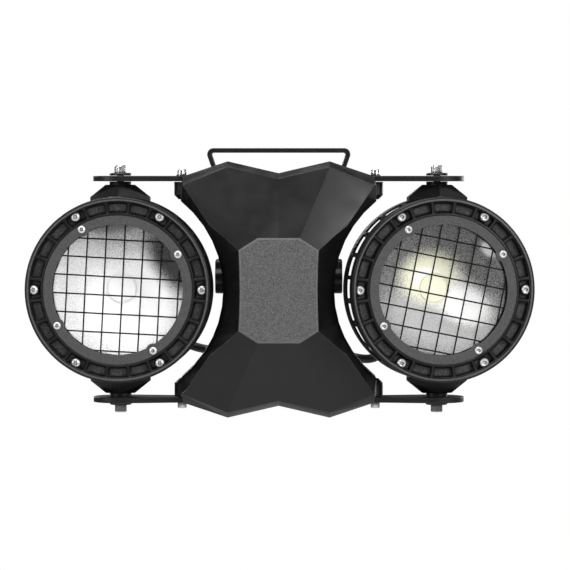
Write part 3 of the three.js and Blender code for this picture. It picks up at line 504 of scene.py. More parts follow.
def makeDustGroup():
    # 1 on faces that look up, where dust settles unevenly
    tree, given, out = newEffect("settledDust", [("Scale", "Float", 60.0)], ["Mask"])
    up = put(tree, "ShaderNodeSeparateXYZ", {0: put(tree, "ShaderNodeNewGeometry")["Normal"]})["Z"]
    spots = remapped(tree, noise(tree, given["Scale"], effects["dustDetail"]), *effects["dustSpots"])
    mask = calc(tree, "MULTIPLY", remapped(tree, up, *effects["facing"]), spots)
    tree.links.new(mask, out["Mask"])
    return tree


def makePaintedShadeGroup():
    # Painted shade: 1 in corners and recesses, where ambient occlusion finds little open space
    tree, given, out = newEffect("paintedCreviceShade", [("Reach", "Float", 0.003)], ["Mask"])
    samples = effects["openSamples"]
    sky = put(tree, "ShaderNodeAmbientOcclusion", {"Distance": given["Reach"]}, samples=samples)["AO"]
    tree.links.new(remapped(tree, sky, *effects["closed"]), out["Mask"])
    return tree


def makePaintedLightGroup():
    # Painted light and shade: 1 in the middle of an ellipse on the front, falling off through speckles
    tree, given, out = newEffect(
        "paintedLightPatch",
        [("Centre", "Vector", None), ("Turn", "Vector", None), ("Reach", "Vector", None),
         ("Speckle", "Float", 800.0), ("Roughness", "Float", 0.9)],
        ["Mask"],
    )
    near = put(tree, "ShaderNodeMapping", {
        "Vector": put(tree, "ShaderNodeTexCoord")["Object"], "Location": given["Centre"],
        "Rotation": given["Turn"], "Scale": given["Reach"]}, vector_type="TEXTURE")[0]
    ball = put(tree, "ShaderNodeVectorMath", {0: near}, operation="LENGTH")["Value"]
    offset = calc(tree, "MULTIPLY_ADD", noise(tree, given["Speckle"]), given["Roughness"], ball)
    mask = remapped(tree, offset, *effects["paintedLightFade"], interpolation_type="SMOOTHSTEP")
    tree.links.new(mask, out["Mask"])
    return tree


grainGroup = makeGrainGroup()
edgeWearAndHighlightGroup = makeEdgeWearAndHighlightGroup()
dustGroup = makeDustGroup()
paintedShadeGroup = makePaintedShadeGroup()
paintedLightGroup = makePaintedLightGroup()


def effect(tree, group, values=None):
    return put(tree, "ShaderNodeGroup", values, node_tree=group)


def covered(tree, colour, over, mask, share=1.0):
    # The colour with another over it where the mask is 1, as strongly as the share says
    amount = calc(tree, "MULTIPLY", mask, share)
    return put(tree, "ShaderNodeMix", {0: amount, 6: colour, 7: over}, data_type="RGBA")[2]


usualLook = {  # what a finish has unless it says otherwise
    "patches": 40.0, "contrast": 0.5, "edgeRadius": 0.0006, "edgeShare": 0.5, "dust": 0.1,
    "dustColour": tone(120, 0.02), "paintedShade": 0.6, "paintedShadeReach": 0.003, "paintedShadeColour": tone(4),
    "paintedLight": (), "relief": 0.0002, "metal": 0.0, "specular": 0.3,
}


def makeFinish(name, ownLook):
    look = {**usualLook, **ownLook}
    material = bpy.data.materials.new(name)
    tree = cleared(material)
    grain = effect(tree, grainGroup, {
        "Scale": look["grain"], "Coarse Scale": look["patches"], "Contrast": look["contrast"]})
    edges = effect(tree, edgeWearAndHighlightGroup, {"Radius": look["edgeRadius"]})
    paintedShade = effect(tree, paintedShadeGroup, {"Reach": look["paintedShadeReach"]})
    colour = covered(tree, look["dark"], look["light"], grain["Mask"])
    # Edges lighter: partly wear, partly painted highlight
    colour = covered(tree, colour, look["edge"], edges["Mask"], look["edgeShare"])
    colour = covered(tree, colour, look["dustColour"], effect(tree, dustGroup)["Mask"], look["dust"])
    # Painted reflections, painted shade and painted highlight, in patches over the colour
    for middle, turn, reach, share, paintedLightColour in look["paintedLight"]:
        paintedPatch = effect(tree, paintedLightGroup, {"Centre": middle, "Turn": (0, turn, 0), "Reach": reach})
        colour = covered(tree, colour, paintedLightColour, paintedPatch["Mask"], share)
    # Painted shade: darker in corners, recesses and hollows where little light reaches
    colour = covered(tree, colour, look["paintedShadeColour"], paintedShade["Mask"], look["paintedShade"])
    bump = put(tree, "ShaderNodeBump", {
        "Height": grain["Height"], "Strength": look["bump"], "Distance": look["relief"]})
    surface = put(tree, "ShaderNodeBsdfPrincipled", {
        "Base Color": colour, "Roughness": remapped(tree, grain["Patches"], 0.0, 1.0, *look["rough"]),
        "Normal": bump[0], "Metallic": look["metal"], "Specular IOR Level": look["specular"]})
    shown(tree, surface[0])
    return material


paintedLightBox = {"depth": 35, "reach": 10000}  # millimetres from the front rim and along the axis


def paintedLightPatches(side, *rows):
    # Patches of painted reflection, painted shade and painted highlight on a lamp head
    # Rows of x, z, half width and half height in millimetres from the lamp's axis, turn in degrees,
    # share and colour
    return [(
        headPlace(side) @ Vector((x, paintedLightBox["depth"], z)), math.radians(turn),
        (width * mm, paintedLightBox["reach"] * mm, height * mm), share, colour,
    ) for x, z, width, height, turn, share, colour in rows]


bowlLook = {
    "edge": tone(230), "edgeShare": 0.0, "dust": 0.0, "contrast": 0.3, "grain": 620.0, "patches": 18.0,
    "rough": (0.3, 0.45), "bump": 0.3, "paintedShade": 0.0, "specular": 0.0,
}
finishes = {
    "bodyPaint": {
        "dark": tone(12, -0.03), "light": tone(20, -0.03), "edge": tone(130), "grain": 1400.0,
        "rough": (0.36, 0.46), "bump": 0.25, "specular": 0.5,
    },
    "padCoat": {
        "dark": tone(66), "light": tone(112), "edge": tone(150), "edgeShare": 0.8, "edgeRadius": 0.0012,
        "contrast": 0.3, "grain": 1150.0, "rough": (0.75, 0.9), "bump": 0.5, "relief": 0.0003,
        "specular": 0.2,
    },
    "castPaint": {
        "dark": tone(4), "light": tone(14), "edge": tone(110), "edgeShare": 0.25, "grain": 700.0,
        "rough": (0.4, 0.55), "bump": 0.4, "relief": 0.0003, "specular": 0.4,
    },
    # Lighter copy of the cast paint for the rim's front face: painted light
    "castRimPaintedLight": {
        "dark": tone(62), "light": tone(96), "edge": tone(130), "grain": 900.0, "rough": (0.4, 0.5),
        "bump": 0.3, "relief": 0.0003, "specular": 0.4,
    },
    # Rough cast pocket floors, lighter also as painted light falling on them
    "pocketCastPaintedLight": {
        "dark": tone(26), "light": tone(92), "edge": tone(110), "edgeShare": 0.2, "paintedShade": 0.9,
        "grain": 520.0, "rough": (0.6, 0.8), "bump": 0.8, "relief": 0.0005,
    },
    "bracketPaint": {
        "dark": tone(16), "light": tone(30), "edge": tone(130), "grain": 1100.0, "rough": (0.35, 0.5),
        "bump": 0.3, "specular": 0.4,
    },
    "ringPlate": {
        "dark": tone(58), "light": tone(92), "edge": tone(120), "edgeShare": 0.3, "contrast": 0.4,
        "grain": 900.0, "rough": (0.6, 0.72), "bump": 0.2,
    },
    "guardWire": {
        "dark": tone(8), "light": tone(20), "edge": tone(50), "edgeShare": 0.2, "grain": 900.0,
        "rough": (0.45, 0.6), "bump": 0.2, "specular": 0.2,
    },
    "stainless": {
        "dark": tone(232), "light": tone(252), "edge": tone(255), "edgeShare": 0.4, "dust": 0.0,
        "paintedShade": 0.97, "paintedShadeReach": 0.002, "grain": 900.0, "rough": (0.25, 0.38), "bump": 0.1,
        "metal": 0.5, "specular": 0.5,
    },
    "boltSteel": {
        "dark": tone(205), "light": tone(236), "edge": tone(250), "edgeShare": 0.4, "dust": 0.0,
        "paintedShade": 0.97, "grain": 900.0, "rough": (0.16, 0.26), "bump": 0.1, "metal": 1.0, "specular": 0.5,
    },
    "blackPlastic": {
        "dark": tone(12), "light": tone(22), "edge": tone(90), "edgeShare": 0.35, "grain": 1500.0,
        "rough": (0.35, 0.48), "bump": 0.2, "specular": 0.45,
    },
    "sealRubber": {
        "dark": tone(12), "light": tone(22), "edge": tone(40), "edgeShare": 0.2, "grain": 800.0,
        "rough": (0.75, 0.9), "bump": 0.3, "specular": 0.2,
    },
    "leadJacket": {
        "dark": tone(14), "light": tone(26), "edge": tone(40), "edgeShare": 0.0, "grain": 700.0,
        "rough": (0.4, 0.55), "bump": 0.25, "specular": 0.4,
    },
    # Bright and dark patches on the bowl: painted reflections and painted shade
    "leftReflector": {
        **bowlLook, "dark": tone(120), "light": tone(214),
        "paintedLight": paintedLightPatches(
            "left",
            (-34, -8, 50, 62, 0, 0.55, tone(236)), (14, -14, 58, 58, -20, 1.0, tone(255)),
            (63, 34, 48, 30, 55, 1.0, tone(24)), (-10, 80, 46, 20, 0, 0.8, tone(60)),
        ),
    },
    # Darker overall than the left reflector: painted shade standing in for what it reflects
    "rightReflector": {
        **bowlLook, "dark": tone(30), "light": tone(142),
        "paintedLight": paintedLightPatches(
            "right",
            (6, -30, 74, 42, 8, 0.45, tone(222)), (12, -4, 48, 25, 30, 0.6, tone(236)),
            (-8, 12, 35, 30, 0, 0.9, (0.92, 0.91, 0.7, 1)), (30, -18, 29, 21, 25, 1.0, tone(255)),
            (-12, 12, 16, 12, 0, 0.9, tone(255)), (56, 44, 11, 7, 45, 0.8, tone(250)),
        ),
    },
    "chipPhosphor": {
        "dark": (0.88, 0.88, 0.68, 1), "light": (0.94, 0.93, 0.74, 1), "edge": tone(240), "edgeShare": 0.0,
        "dust": 0.0, "paintedShade": 0.0, "grain": 500.0, "rough": (0.5, 0.6), "bump": 0.1, "specular": 0.1,
        # White patch over the left chip: painted highlight
        "paintedLight": paintedLightPatches("left", (0, 0, 60, 60, 0, 1.0, tone(255))),
    },
    "circuitBoard": {
        "dark": (0.012, 0.075, 0.03, 1), "light": (0.018, 0.1, 0.045, 1), "edge": tone(120),
        "grain": 300.0, "rough": (0.4, 0.5), "bump": 0.1, "dust": 0.0,
    },
    "supplyCase": {
        "dark": tone(150), "light": tone(172), "edge": tone(200), "metal": 0.9, "grain": 250.0,
        "rough": (0.35, 0.5), "bump": 0.15, "dust": 0.0,
    },
}
glasses = {
    "lensGlass": {"colour": tone(255), "rough": 0.01, "transmission": 1.0},
    "windowPlastic": {"colour": tone(120), "rough": 0.08, "transmission": 0.85},
}
glassSmear = {"scale": 22.0, "rougher": 2.5, "index": 1.5}


def makeGlass(name, look):
    # Clear, a little rougher in patches, and without a dark shadow
    material = bpy.data.materials.new(name)
    tree = cleared(material)
    smear = effect(tree, grainGroup, {"Coarse Scale": glassSmear["scale"]})["Patches"]
    rough = remapped(tree, smear, 0.0, 1.0, look["rough"], look["rough"] * glassSmear["rougher"])
    surface = put(tree, "ShaderNodeBsdfPrincipled", {
        "Base Color": look["colour"], "Roughness": rough, "IOR": glassSmear["index"],
        "Transmission Weight": look["transmission"]})
    clear = put(tree, "ShaderNodeBsdfTransparent", {"Color": look["colour"]})
    shadow = put(tree, "ShaderNodeLightPath")["Is Shadow Ray"]
    shown(tree, blended(tree, shadow, surface[0], clear[0]))
    return material


materials.update({name: makeFinish(name, look) for name, look in finishes.items()})
materials.update({name: makeGlass(name, look) for name, look in glasses.items()})
print("finishes mixed")


# Leads: from the gland on the chassis to the gland on the rear cap, repeated from the CAD source,
# in millimetres from the middle of the body, with x counted outwards
lead = {
    "radius": 5,
    "stepsPerStretch": 4,
    "endShare": 0.12,  # part at each end that stays with its gland
    "routes": {
        "left": [
            (66, 67.3, -72), (66, 82, -72), (70, 102, -72.5), (82, 121, -72.5), (99, 133, -69),
            (117, 138, -60), (132.5, 133, -49), (139.6, 119.5, -42.5), (140, 107.43, -42),
        ],
        "right": [
            (66, 67.3, -72), (66, 81, -72.5), (70, 99, -75), (80, 116, -79.5), (94, 128, -83.5),
            (108.5, 135.5, -83), (120.5, 138.5, -74), (126, 135, -59), (127.6, 124.5, -47),
            (129.7, 114.2, -42.5), (131.26, 103.3, -42),
        ],
    },
}


def throughPoints(points, steps):
    # A smooth line through the points, its knots spaced by the square root of each stretch
    ends = [2 * points[0] - points[1], *points, 2 * points[-1] - points[-2]]
    line = []
    for i in range(1, len(ends) - 2):
        four = ends[i - 1:i + 3]
        knots = [0.0]
        for a, b in zip(four, four[1:]):
            knots.append(knots[-1] + math.sqrt((b - a).length))
        for step in range(steps):
            at = knots[1] + (knots[2] - knots[1]) * step / steps
            level, width = four, 1
            while len(level) > 1:
                level = [
                    level[j].lerp(level[j + 1], (at - knots[j]) / (knots[j + width] - knots[j]))
                    for j in range(len(level) - 1)
                ]
                width += 1
            line.append(level[0])
    return line + [points[-1]]


def ringCurve(tree, radius, sides):
    return put(tree, "GeometryNodeCurvePrimitiveCircle", {"Radius": radius, "Resolution": sides})[0]


def makeTubeTree():
    # A round tube along a curve
    tree, given, out = newShapeTree(
        "tubeAlongPath", [("Path", "Geometry", None), ("Radius", "Float", 0.005), ("Sides", "Int", 24)]
    )
    tube = swept(tree, given["Path"], ringCurve(tree, given["Radius"], given["Sides"]))
    return endShapeTree(tree, given, out, tube)


def lineObject(name, points):
    curve = bpy.data.curves.new(name, "CURVE")
    curve.dimensions = "3D"
    spline = curve.splines.new("POLY")
    spline.points.add(len(points) - 1)
    for point, place in zip(spline.points, points):
        point.co = (*place, 1)
    return asPiece(name, curve)


tubeTree = makeTubeTree()


def addLead(side):
    sign = sides[side]
    knots = [bodyPlace @ Vector((sign * x, y, z)) for x, y, z in lead["routes"][side]]
    path = throughPoints(knots, lead["stepsPerStretch"])
    piece = grown(lineObject(f"{side}Lead", path), tubeTree, "leadJacket", {"Radius": lead["radius"] * mm})
    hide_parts(f"{side}_lead")
    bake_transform(piece)


for side in sides:
    addLead(side)


# Copies of one item in a circle about Y; the item is made on the +X side
def xyz(tree, x=0.0, y=0.0, z=0.0):
    return put(tree, "ShaderNodeCombineXYZ", {"X": x, "Y": y, "Z": z})[0]


def makePolarTree():
    tree, given, out = newShapeTree(
        "polarCopies", [("Item", "Geometry", None), ("Copies", "Int", 6), ("Start", "Float", 0.0)]
    )
    step = calc(tree, "DIVIDE", 2 * math.pi, given["Copies"])
    index = put(tree, "GeometryNodeInputIndex")[0]
    angle = calc(tree, "MULTIPLY_ADD", index, step, given["Start"])
    turn = put(tree, "FunctionNodeEulerToRotation", {0: xyz(tree, y=calc(tree, "MULTIPLY", angle, -1.0))})
    copies = put(tree, "GeometryNodeInstanceOnPoints", {
        "Points": put(tree, "GeometryNodePoints", {"Count": given["Copies"]})[0],
        "Instance": given["Item"], "Rotation": turn[0]})
    return endShapeTree(tree, given, out, copies[0], weld=meshRules["weld"])


polarTree = makePolarTree()


def roundCopies(item, count, startDegrees, finish):
    return grown(item, polarTree, finish, {"Copies": count, "Start": math.radians(startDegrees)})


# Button-head and socket-cap screws, heads towards -Y, seated at depth 0; the shares are of the
# radius, the mouth's of the socket, those of its wall and floor of the height
buttonHead = {
    "foot": 0.6, "footShare": 0.94, "skirt": 0.1, "shoulder": 0.35, "shoulderShare": 0.98,
    "domeDegrees": (18, 36, 54), "mouthShare": 1.16, "mouthDepth": 0.15, "wallShare": 0.3,
    "floorShare": 0.2, "steps": 24,
}
capHead = {
    "footShare": 0.93, "edge": 0.35, "knurlEnd": 0.9, "faceShare": 0.86, "mouthShare": 1.2,
    "mouthDepth": 0.3, "wallShare": 0.4, "floorShare": 0.3, "ridgeShare": 0.035,
}


def hexagon(radius):
    def reach(angle):
        return radius * math.cos(math.pi / 6) / math.cos((angle % (math.pi / 3)) - math.pi / 6)
    return reach


def buttonScrew(sizes):
    radius, height, socket = sizes["screwRadius"], sizes["screwHeight"], sizes["socket"]
    shape, shoulder = buttonHead, buttonHead["shoulder"]
    dome = [
        (radius * math.cos(a) * shape["shoulderShare"], -shoulder - (height - shoulder) * math.sin(a))
        for a in (math.radians(degrees) for degrees in shape["domeDegrees"])
    ]
    return turned("screw", [
        (0, shape["foot"]), (radius * shape["footShare"], shape["foot"]), (radius, shape["skirt"]),
        (radius * shape["shoulderShare"], -shoulder), *dome, (socket * shape["mouthShare"], -height),
        (hexagon(socket), -height + shape["mouthDepth"]), (hexagon(socket), -height * shape["wallShare"]),
        (0, -height * shape["floorShare"])], shape["steps"])


def backScrew(sizes):
    # A button head that looks towards +Y
    return moved(buttonScrew(sizes), turn=(math.pi, 0, 0))


def capScrew(name, sizes):
    radius, height, socket = sizes["screwRadius"], sizes["screwHeight"], sizes["socket"]
    shape, edge, ridges = capHead, capHead["edge"], sizes["ridges"]

    def ribbed(angle):
        return radius * (1 - shape["ridgeShare"] * (math.cos(ridges * angle) > 0))

    return turned(name, [
        (0, 0), (radius * shape["footShare"], 0), (ribbed, edge), (ribbed, shape["knurlEnd"] - height),
        (radius * shape["footShare"], edge - height), (radius * shape["faceShare"], -height),
        (socket * shape["mouthShare"], -height), (hexagon(socket), shape["mouthDepth"] - height),
        (hexagon(socket), -height * shape["wallShare"]), (0, -height * shape["floorShare"])], 2 * ridges)


def screwCircle(side, kind, screw, sizes, depth):
    screws = moved(screw, x=sizes["screwCircle"], y=depth)
    screws = roundCopies(screws, sizes["screws"], sizes["screwAngle"], "stainless")
    screws.name = f"{side}{kind}Screws"
    onHead(side, screws, "stainless")


# Bezel ring; depths on a lamp head are measured from the plane of the front rim
bezel = {
    "radius": 102, "rimRound": 2.4, "rimDegrees": (0, 30, 60, 90), "sideStart": 5.0, "rimPaintedLightTo": 0.06,
    "back": 16.4, "bore": 72, "rimInner": 97.2,
    "lip": [(0.7, 0.0), (0.1, 0.5), (0, 1.1)],  # outwards from the inner edge of the rim, and depth
    "wall": [(84.1, 1.25), (83.6, 1.0), (82.6, 1.0), (82.1, 1.5)],
    "ledgeInner": 82.1, "ledgeDepth": 4.5, "glassBore": 78.2, "glassLedge": 14.2,
    "cells": 24, "stepsPerCell": 8, "cornerShare": 0.29,
    "pocket": [  # outer and inner radius, thickness of the rib, corner, depth
        (96.7, 84.1, 1.5, 1.2, 1.9), (96.2, 84.5, 2.4, 1.2, 2.4),
        (95.3, 85.6, 3.8, 1.4, 7.7), (94.3, 86.5, 5.4, 1.4, 8.6),
    ],
    "floorSlack": 0.3, "padRadius": 5.9, "padTop": 4.4, "padEdge": 0.4, "padSteps": 32,
    "screws": 6, "screwAngle": 0, "screwCircle": 92.4, "screwRadius": 4.9, "screwHeight": 2.7, "socket": 2.5,
}


def bezelCell():
    # One of the 24 sectors: rim, drafted pocket with round corners, half a rib on each side, inner wall
    half = math.pi / bezel["cells"]
    steps = bezel["stepsPerCell"]
    radius, soft, back = bezel["radius"], bezel["rimRound"], bezel["back"]
    turns = [math.radians(degrees) for degrees in bezel["rimDegrees"]]
    shape = bmesh.new()

    def strip(line):
        angles = [-half + 2 * half * step / steps for step in range(steps + 1)]
        loops = [[shape.verts.new(polar(r, y, angle)) for r, y in line] for angle in angles]
        for here, there in zip(loops, loops[1:]):
            bridged(shape, here, there, closed=False)
        return loops

    outside = strip([
        (bezel["bore"], back), (radius, back), (radius, bezel["sideStart"]),
        *[(radius - soft * (1 - math.cos(a)), soft * (1 - math.sin(a))) for a in turns],
        *[(bezel["rimInner"] + reach, depth) for reach, depth in bezel["lip"]],
    ])
    ledge, seat, bore = bezel["ledgeDepth"], bezel["glassLedge"], bezel["bore"]
    inside = strip([
        *bezel["wall"], (bezel["ledgeInner"], ledge), (bezel["glassBore"], ledge), (bezel["glassBore"], seat),
        (bore, seat), (bore, back),
    ])

    def pocketLoop(outer, inner, rib, corner, depth):
        # Closed: along the outer arc, down one side, along the inner arc, up the other
        def edge(reach):
            return half - math.asin(rib / 2 / reach)
        points = []
        for start, goal, sign, inset in ((outer, inner, 1, corner), (inner, outer, -1, -corner)):
            near = edge(start) - corner / start
            points += [(start, sign * near * (2 * i / steps - 1)) for i in range(steps + 1)]
            cut = bezel["cornerShare"]
            points += [
                (start - inset * cut, sign * (edge(start) - corner * cut / start)),
                (start - inset, sign * edge(start - inset)),
                (goal + inset, sign * edge(goal + inset)),
                (goal + inset * cut, sign * (edge(goal) - corner * cut / goal)),
            ]
        return [shape.verts.new(polar(reach, depth, angle)) for reach, angle in points]

    levels = [pocketLoop(*row) for row in bezel["pocket"]]
    for upper, lower in zip(levels, levels[1:]):
        bridged(shape, upper, lower)
    shape.faces.new(levels[-1])

    # The rib's top joins the pocket's edge to the rim, to the inner wall and to the next sector
    count = steps + 1
    corners = (len(levels[0]) - 2 * count) // 2
    outerArc, sideUp = levels[0][:count], levels[0][count:count + corners]
    innerArc, sideDown = levels[0][count + corners:-corners], levels[0][-corners:]
    rim = [loop[-1] for loop in outside]
    wall = [loop[0] for loop in reversed(inside)]
    bridged(shape, rim, outerArc, closed=False)
    bridged(shape, wall, innerArc, closed=False)
    for line, sign, end in ((sideUp, 1, -1), (sideDown[::-1], -1, 0)):
        start = -1 - end
        seam = [
            shape.verts.new(polar(math.hypot(v.co.x, v.co.z), v.co.y, sign * half)) for v in line
        ]
        shape.faces.new((rim[end], outerArc[end], line[0], seam[0]))
        bridged(shape, line, seam, closed=False)
        shape.faces.new((wall[start], innerArc[start], line[-1], seam[-1]))
    return sealed("bezelCell", shape)


def bezelRing(side):
    ring = roundCopies(bezelCell(), bezel["cells"], 0, "castPaint")
    ring.name = f"{side}Bezel"
    pad, top, edge = bezel["padRadius"], bezel["padTop"], bezel["padEdge"]
    pads = turned("pads", [
        (0, top), (pad - edge, top), (pad, top + edge), (pad, bezel["glassLedge"]),
        (0, bezel["glassLedge"])], bezel["padSteps"])
    pads = moved(pads, x=bezel["screwCircle"])
    ring = combined(ring, [roundCopies(pads, bezel["screws"], 0, "castPaint")], "UNION")
    onHead(side, ring, "castPaint", "bezel_ring")
    ring.data.materials.append(materials["pocketCastPaintedLight"])
    ring.data.materials.append(materials["castRimPaintedLight"])
    # Pocket floors: rough cast, lighter also as painted light falling on them
    outer, inner = bezel["pocket"][0][:2]
    floor = bezel["pocket"][-1][-1]
    place = headPlace(side).inverted()
    for face in ring.data.polygons:
        middle = place @ face.center
        between = inner < math.hypot(middle.x, middle.z) < outer
        if between and abs(middle.y - floor) < bezel["floorSlack"]:
            face.material_index = 1
        # The rim's front face in a lighter copy of the cast paint: painted light
        elif middle.y < bezel["rimPaintedLightTo"]:
            face.material_index = 2
    screwCircle(side, "Bezel", buttonScrew(bezel), bezel, top)


# Retaining ring with four round eyes for its screws
holder = {
    "radius": 81.8, "bore": 71.7, "front": 1.2, "back": 4.2, "edge": 0.35, "eyeRadius": 8, "steps": 480,
    "screws": 4, "screwAngle": 30.5, "screwCircle": 77, "screwRadius": 4.3, "screwHeight": 2.1, "socket": 2.1,
}


def retainingRing(side):
    radius, front, back, edge = holder["radius"], holder["front"], holder["back"], holder["edge"]
    spacing = 2 * math.pi / holder["screws"]

    def inner(angle):
        away = (angle - math.radians(holder["screwAngle"]) + spacing / 2) % spacing - spacing / 2
        across = holder["screwCircle"] * math.sin(away)
        if abs(across) >= holder["eyeRadius"]:
            return holder["bore"]
        eye = math.sqrt(holder["eyeRadius"] ** 2 - across ** 2)
        return min(holder["bore"], holder["screwCircle"] * math.cos(away) - eye)

    def lip(angle):
        return inner(angle) + edge

    ring = turned(f"{side}Ring", [
        (lip, front), (radius - edge, front), (radius, front + edge), (radius, back),
        (inner, back), (inner, front + edge)], holder["steps"], closed=True)
    onHead(side, ring, "ringPlate", "retaining_ring")
    screwCircle(side, "Ring", buttonScrew(holder), holder, front)


# Wire guard: two layers of nearly straight wires welded into a round rim
guard = {
    "wires": 7, "pitch": 20.4, "wireRadius": 0.85, "gap": 0.05, "front": 4.4, "rimRadius": 76.4,
    "rimThickness": 1.45, "shift": (5, -6.4), "turn": {"left": 3, "right": 11.5}, "wander": 0.35,
    "waviness": 0.02, "wireSides": 10, "wireSteps": 24, "rimSides": 12, "rimSteps": 96,
}


def makeGuardTree():
    tree, given, out = newShapeTree("wireGuard", [
        ("Item", "Geometry", None), ("Wires", "Int", 7), ("Pitch", "Float", 20.0), ("Reach", "Float", 76.0),
        ("Wire Radius", "Float", 0.8), ("Layer Depth", "Float", 1.7), ("Shift X", "Float", 0.0),
        ("Shift Z", "Float", 0.0), ("Wander", "Float", 0.2), ("Rim Radius", "Float", 1.5)])
    layers = tree.nodes.new("GeometryNodeJoinGeometry")

    def lay(part, depth, turn):
        laid = put(tree, "GeometryNodeTransform", {
            "Geometry": part, "Translation": xyz(tree, y=depth), "Rotation": turn})
        tree.links.new(laid[0], layers.inputs[0])

    section = ringCurve(tree, given["Wire Radius"], guard["wireSides"])
    straight = put(tree, "GeometryNodeCurvePrimitiveLine", {"Start": (0, 0, -1), "End": (0, 0, 1)})[0]
    for layer, shift in enumerate(("Shift X", "Shift Z")):
        gaps = calc(tree, "SUBTRACT", given["Wires"], 1.0)
        span = calc(tree, "MULTIPLY", gaps, calc(tree, "MULTIPLY", given["Pitch"], -0.5))
        row = put(tree, "GeometryNodeMeshLine", {
            "Count": given["Wires"], "Start Location": xyz(tree, x=calc(tree, "ADD", span, given[shift])),
            "Offset": xyz(tree, x=given["Pitch"])})
        across = put(tree, "ShaderNodeSeparateXYZ", {0: put(tree, "GeometryNodeInputPosition")[0]})["X"]
        square = calc(tree, "SUBTRACT", calc(tree, "POWER", given["Reach"], 2.0),
                      calc(tree, "POWER", across, 2.0))
        wires = put(tree, "GeometryNodeInstanceOnPoints", {
            "Points": row[0], "Instance": straight, "Scale": xyz(tree, 1.0, 1.0, calc(tree, "SQRT", square))})
        real = put(tree, "GeometryNodeRealizeInstances", {0: wires[0]})
        fine = put(tree, "GeometryNodeResampleCurve", {"Curve": real[0], "Count": guard["wireSteps"]})
        wave = put(tree, "ShaderNodeTexNoise", {"Scale": guard["waviness"]})[1]
        sway = put(tree, "ShaderNodeVectorMath", {0: wave, 1: (2, 0, 0), 2: (-1, 0, 0)},
                   operation="MULTIPLY_ADD")
        sized = put(tree, "ShaderNodeVectorMath", {0: sway[0], "Scale": given["Wander"]}, operation="SCALE")
        bent = put(tree, "GeometryNodeSetPosition", {"Geometry": fine[0], "Offset": sized[0]})
        depth = calc(tree, "MULTIPLY", given["Layer Depth"], float(layer))
        lay(swept(tree, bent[0], section), depth, (0, -layer * math.pi / 2, 0))
    upright = put(tree, "GeometryNodeTransform", {
        "Geometry": ringCurve(tree, given["Reach"], guard["rimSteps"]), "Rotation": (math.pi / 2, 0, 0)})
    rimSection = ringCurve(tree, given["Rim Radius"], guard["rimSides"])
    rim = swept(tree, upright[0], rimSection, caps=False)
    lay(rim, calc(tree, "MULTIPLY", given["Layer Depth"], 0.5), (0, 0, 0))
    return endShapeTree(tree, given, out, layers.outputs[0])


guardTree = makeGuardTree()


def wireGuard(side):
    name = f"{side}Guard"
    piece = grown(asPiece(name, bpy.data.meshes.new(name)), guardTree, "guardWire", {
        "Wires": guard["wires"], "Pitch": guard["pitch"], "Reach": guard["rimRadius"],
        "Wire Radius": guard["wireRadius"], "Layer Depth": 2 * guard["wireRadius"] + guard["gap"],
        "Shift X": float(guard["shift"][0]), "Shift Z": float(guard["shift"][1]), "Wander": guard["wander"],
        "Rim Radius": guard["rimThickness"]})
    moved(piece, y=guard["front"] + guard["wireRadius"], turn=(0, math.radians(guard["turn"][side]), 0))
    onHead(side, piece, "guardWire", "mesh_guard")


# Glass, reflector and light source
glass = {"radius": 77.8, "front": 8.1, "back": 12.1, "edge": 0.5, "steps": 128}
bowl = {
    "mouth": 71, "throat": 17.5, "front": 16.7, "depth": 44, "wall": 1, "wallBehind": 0.4, "rings": 28,
    "rim": 75.7, "rimBack": 17.9, "rimStep": 0.5, "steps": 128,
}
led = {
    "baseFront": 63.2, "baseBack": 65.7, "baseSize": 44, "baseCorner": 2.5, "baseEdge": 0.3,
    "chipRadius": 14, "chipFront": 62.0, "chipEdge": (0.6, 0.05), "chipSide": 0.4,
    "damRadius": 15.4, "damTop": 0.5, "damEdge": 0.3, "damStep": 0.2, "damFoot": 0.1, "steps": 48,
}


def lensGlass(side):
    radius, front, back, edge = glass["radius"], glass["front"], glass["back"], glass["edge"]
    piece = turned(f"{side}Glass", [
        (0, front), (radius - edge, front), (radius, front + edge), (radius, back - edge),
        (radius - edge, back), (0, back)], glass["steps"])
    onHead(side, piece, "lensGlass", "glass")


def reflectorBowl(side):
    inside = []
    for i in range(bowl["rings"] + 1):
        share = i / bowl["rings"]
        radius = bowl["throat"] + (bowl["mouth"] - bowl["throat"]) * share
        inside.append((radius, bowl["front"] + bowl["depth"] * (1 - share ** 2)))
    behind = bowl["wall"] * bowl["wallBehind"]
    outside = [(radius + bowl["wall"], depth + behind) for radius, depth in reversed(inside)]
    piece = turned(f"{side}Reflector", inside + [
        (bowl["rim"], bowl["front"]), (bowl["rim"], bowl["rimBack"]),
        (bowl["mouth"] + bowl["wall"] + bowl["rimStep"], bowl["rimBack"])] + outside[2:],
        bowl["steps"], closed=True)
    onHead(side, piece, f"{side}Reflector", "reflector")


def lightSource(side):
    front, base, step = led["chipFront"], led["baseFront"], led["damStep"]
    radius, dam, foot = led["chipRadius"], led["damRadius"], led["baseFront"] + led["damFoot"]
    plate = roundedRectangle(led["baseSize"], led["baseSize"], led["baseCorner"])
    plate = eased(extruded("base", plate, base, led["baseBack"]), led["baseEdge"])
    ring = turned("dam", [
        (radius, front + step), (dam - led["damEdge"], front - led["damTop"]), (dam, front - step),
        (dam, foot), (radius, foot)], led["steps"], closed=True)
    onHead(side, joined(f"{side}LedBase", [plate, ring]), "chipPhosphor")
    inset, drop = led["chipEdge"]
    chip = turned(f"{side}Phosphor", [
        (0, front), (radius - inset, front + drop), (radius, front + led["chipSide"]), (radius, base),
        (0, base)], led["steps"])
    onHead(side, chip, "chipPhosphor", "cob_led")


for side in sides:
    bezelRing(side)
    retainingRing(side)
    wireGuard(side)
    lensGlass(side)
    reflectorBowl(side)
    lightSource(side)
print("fronts of the lamp heads made")


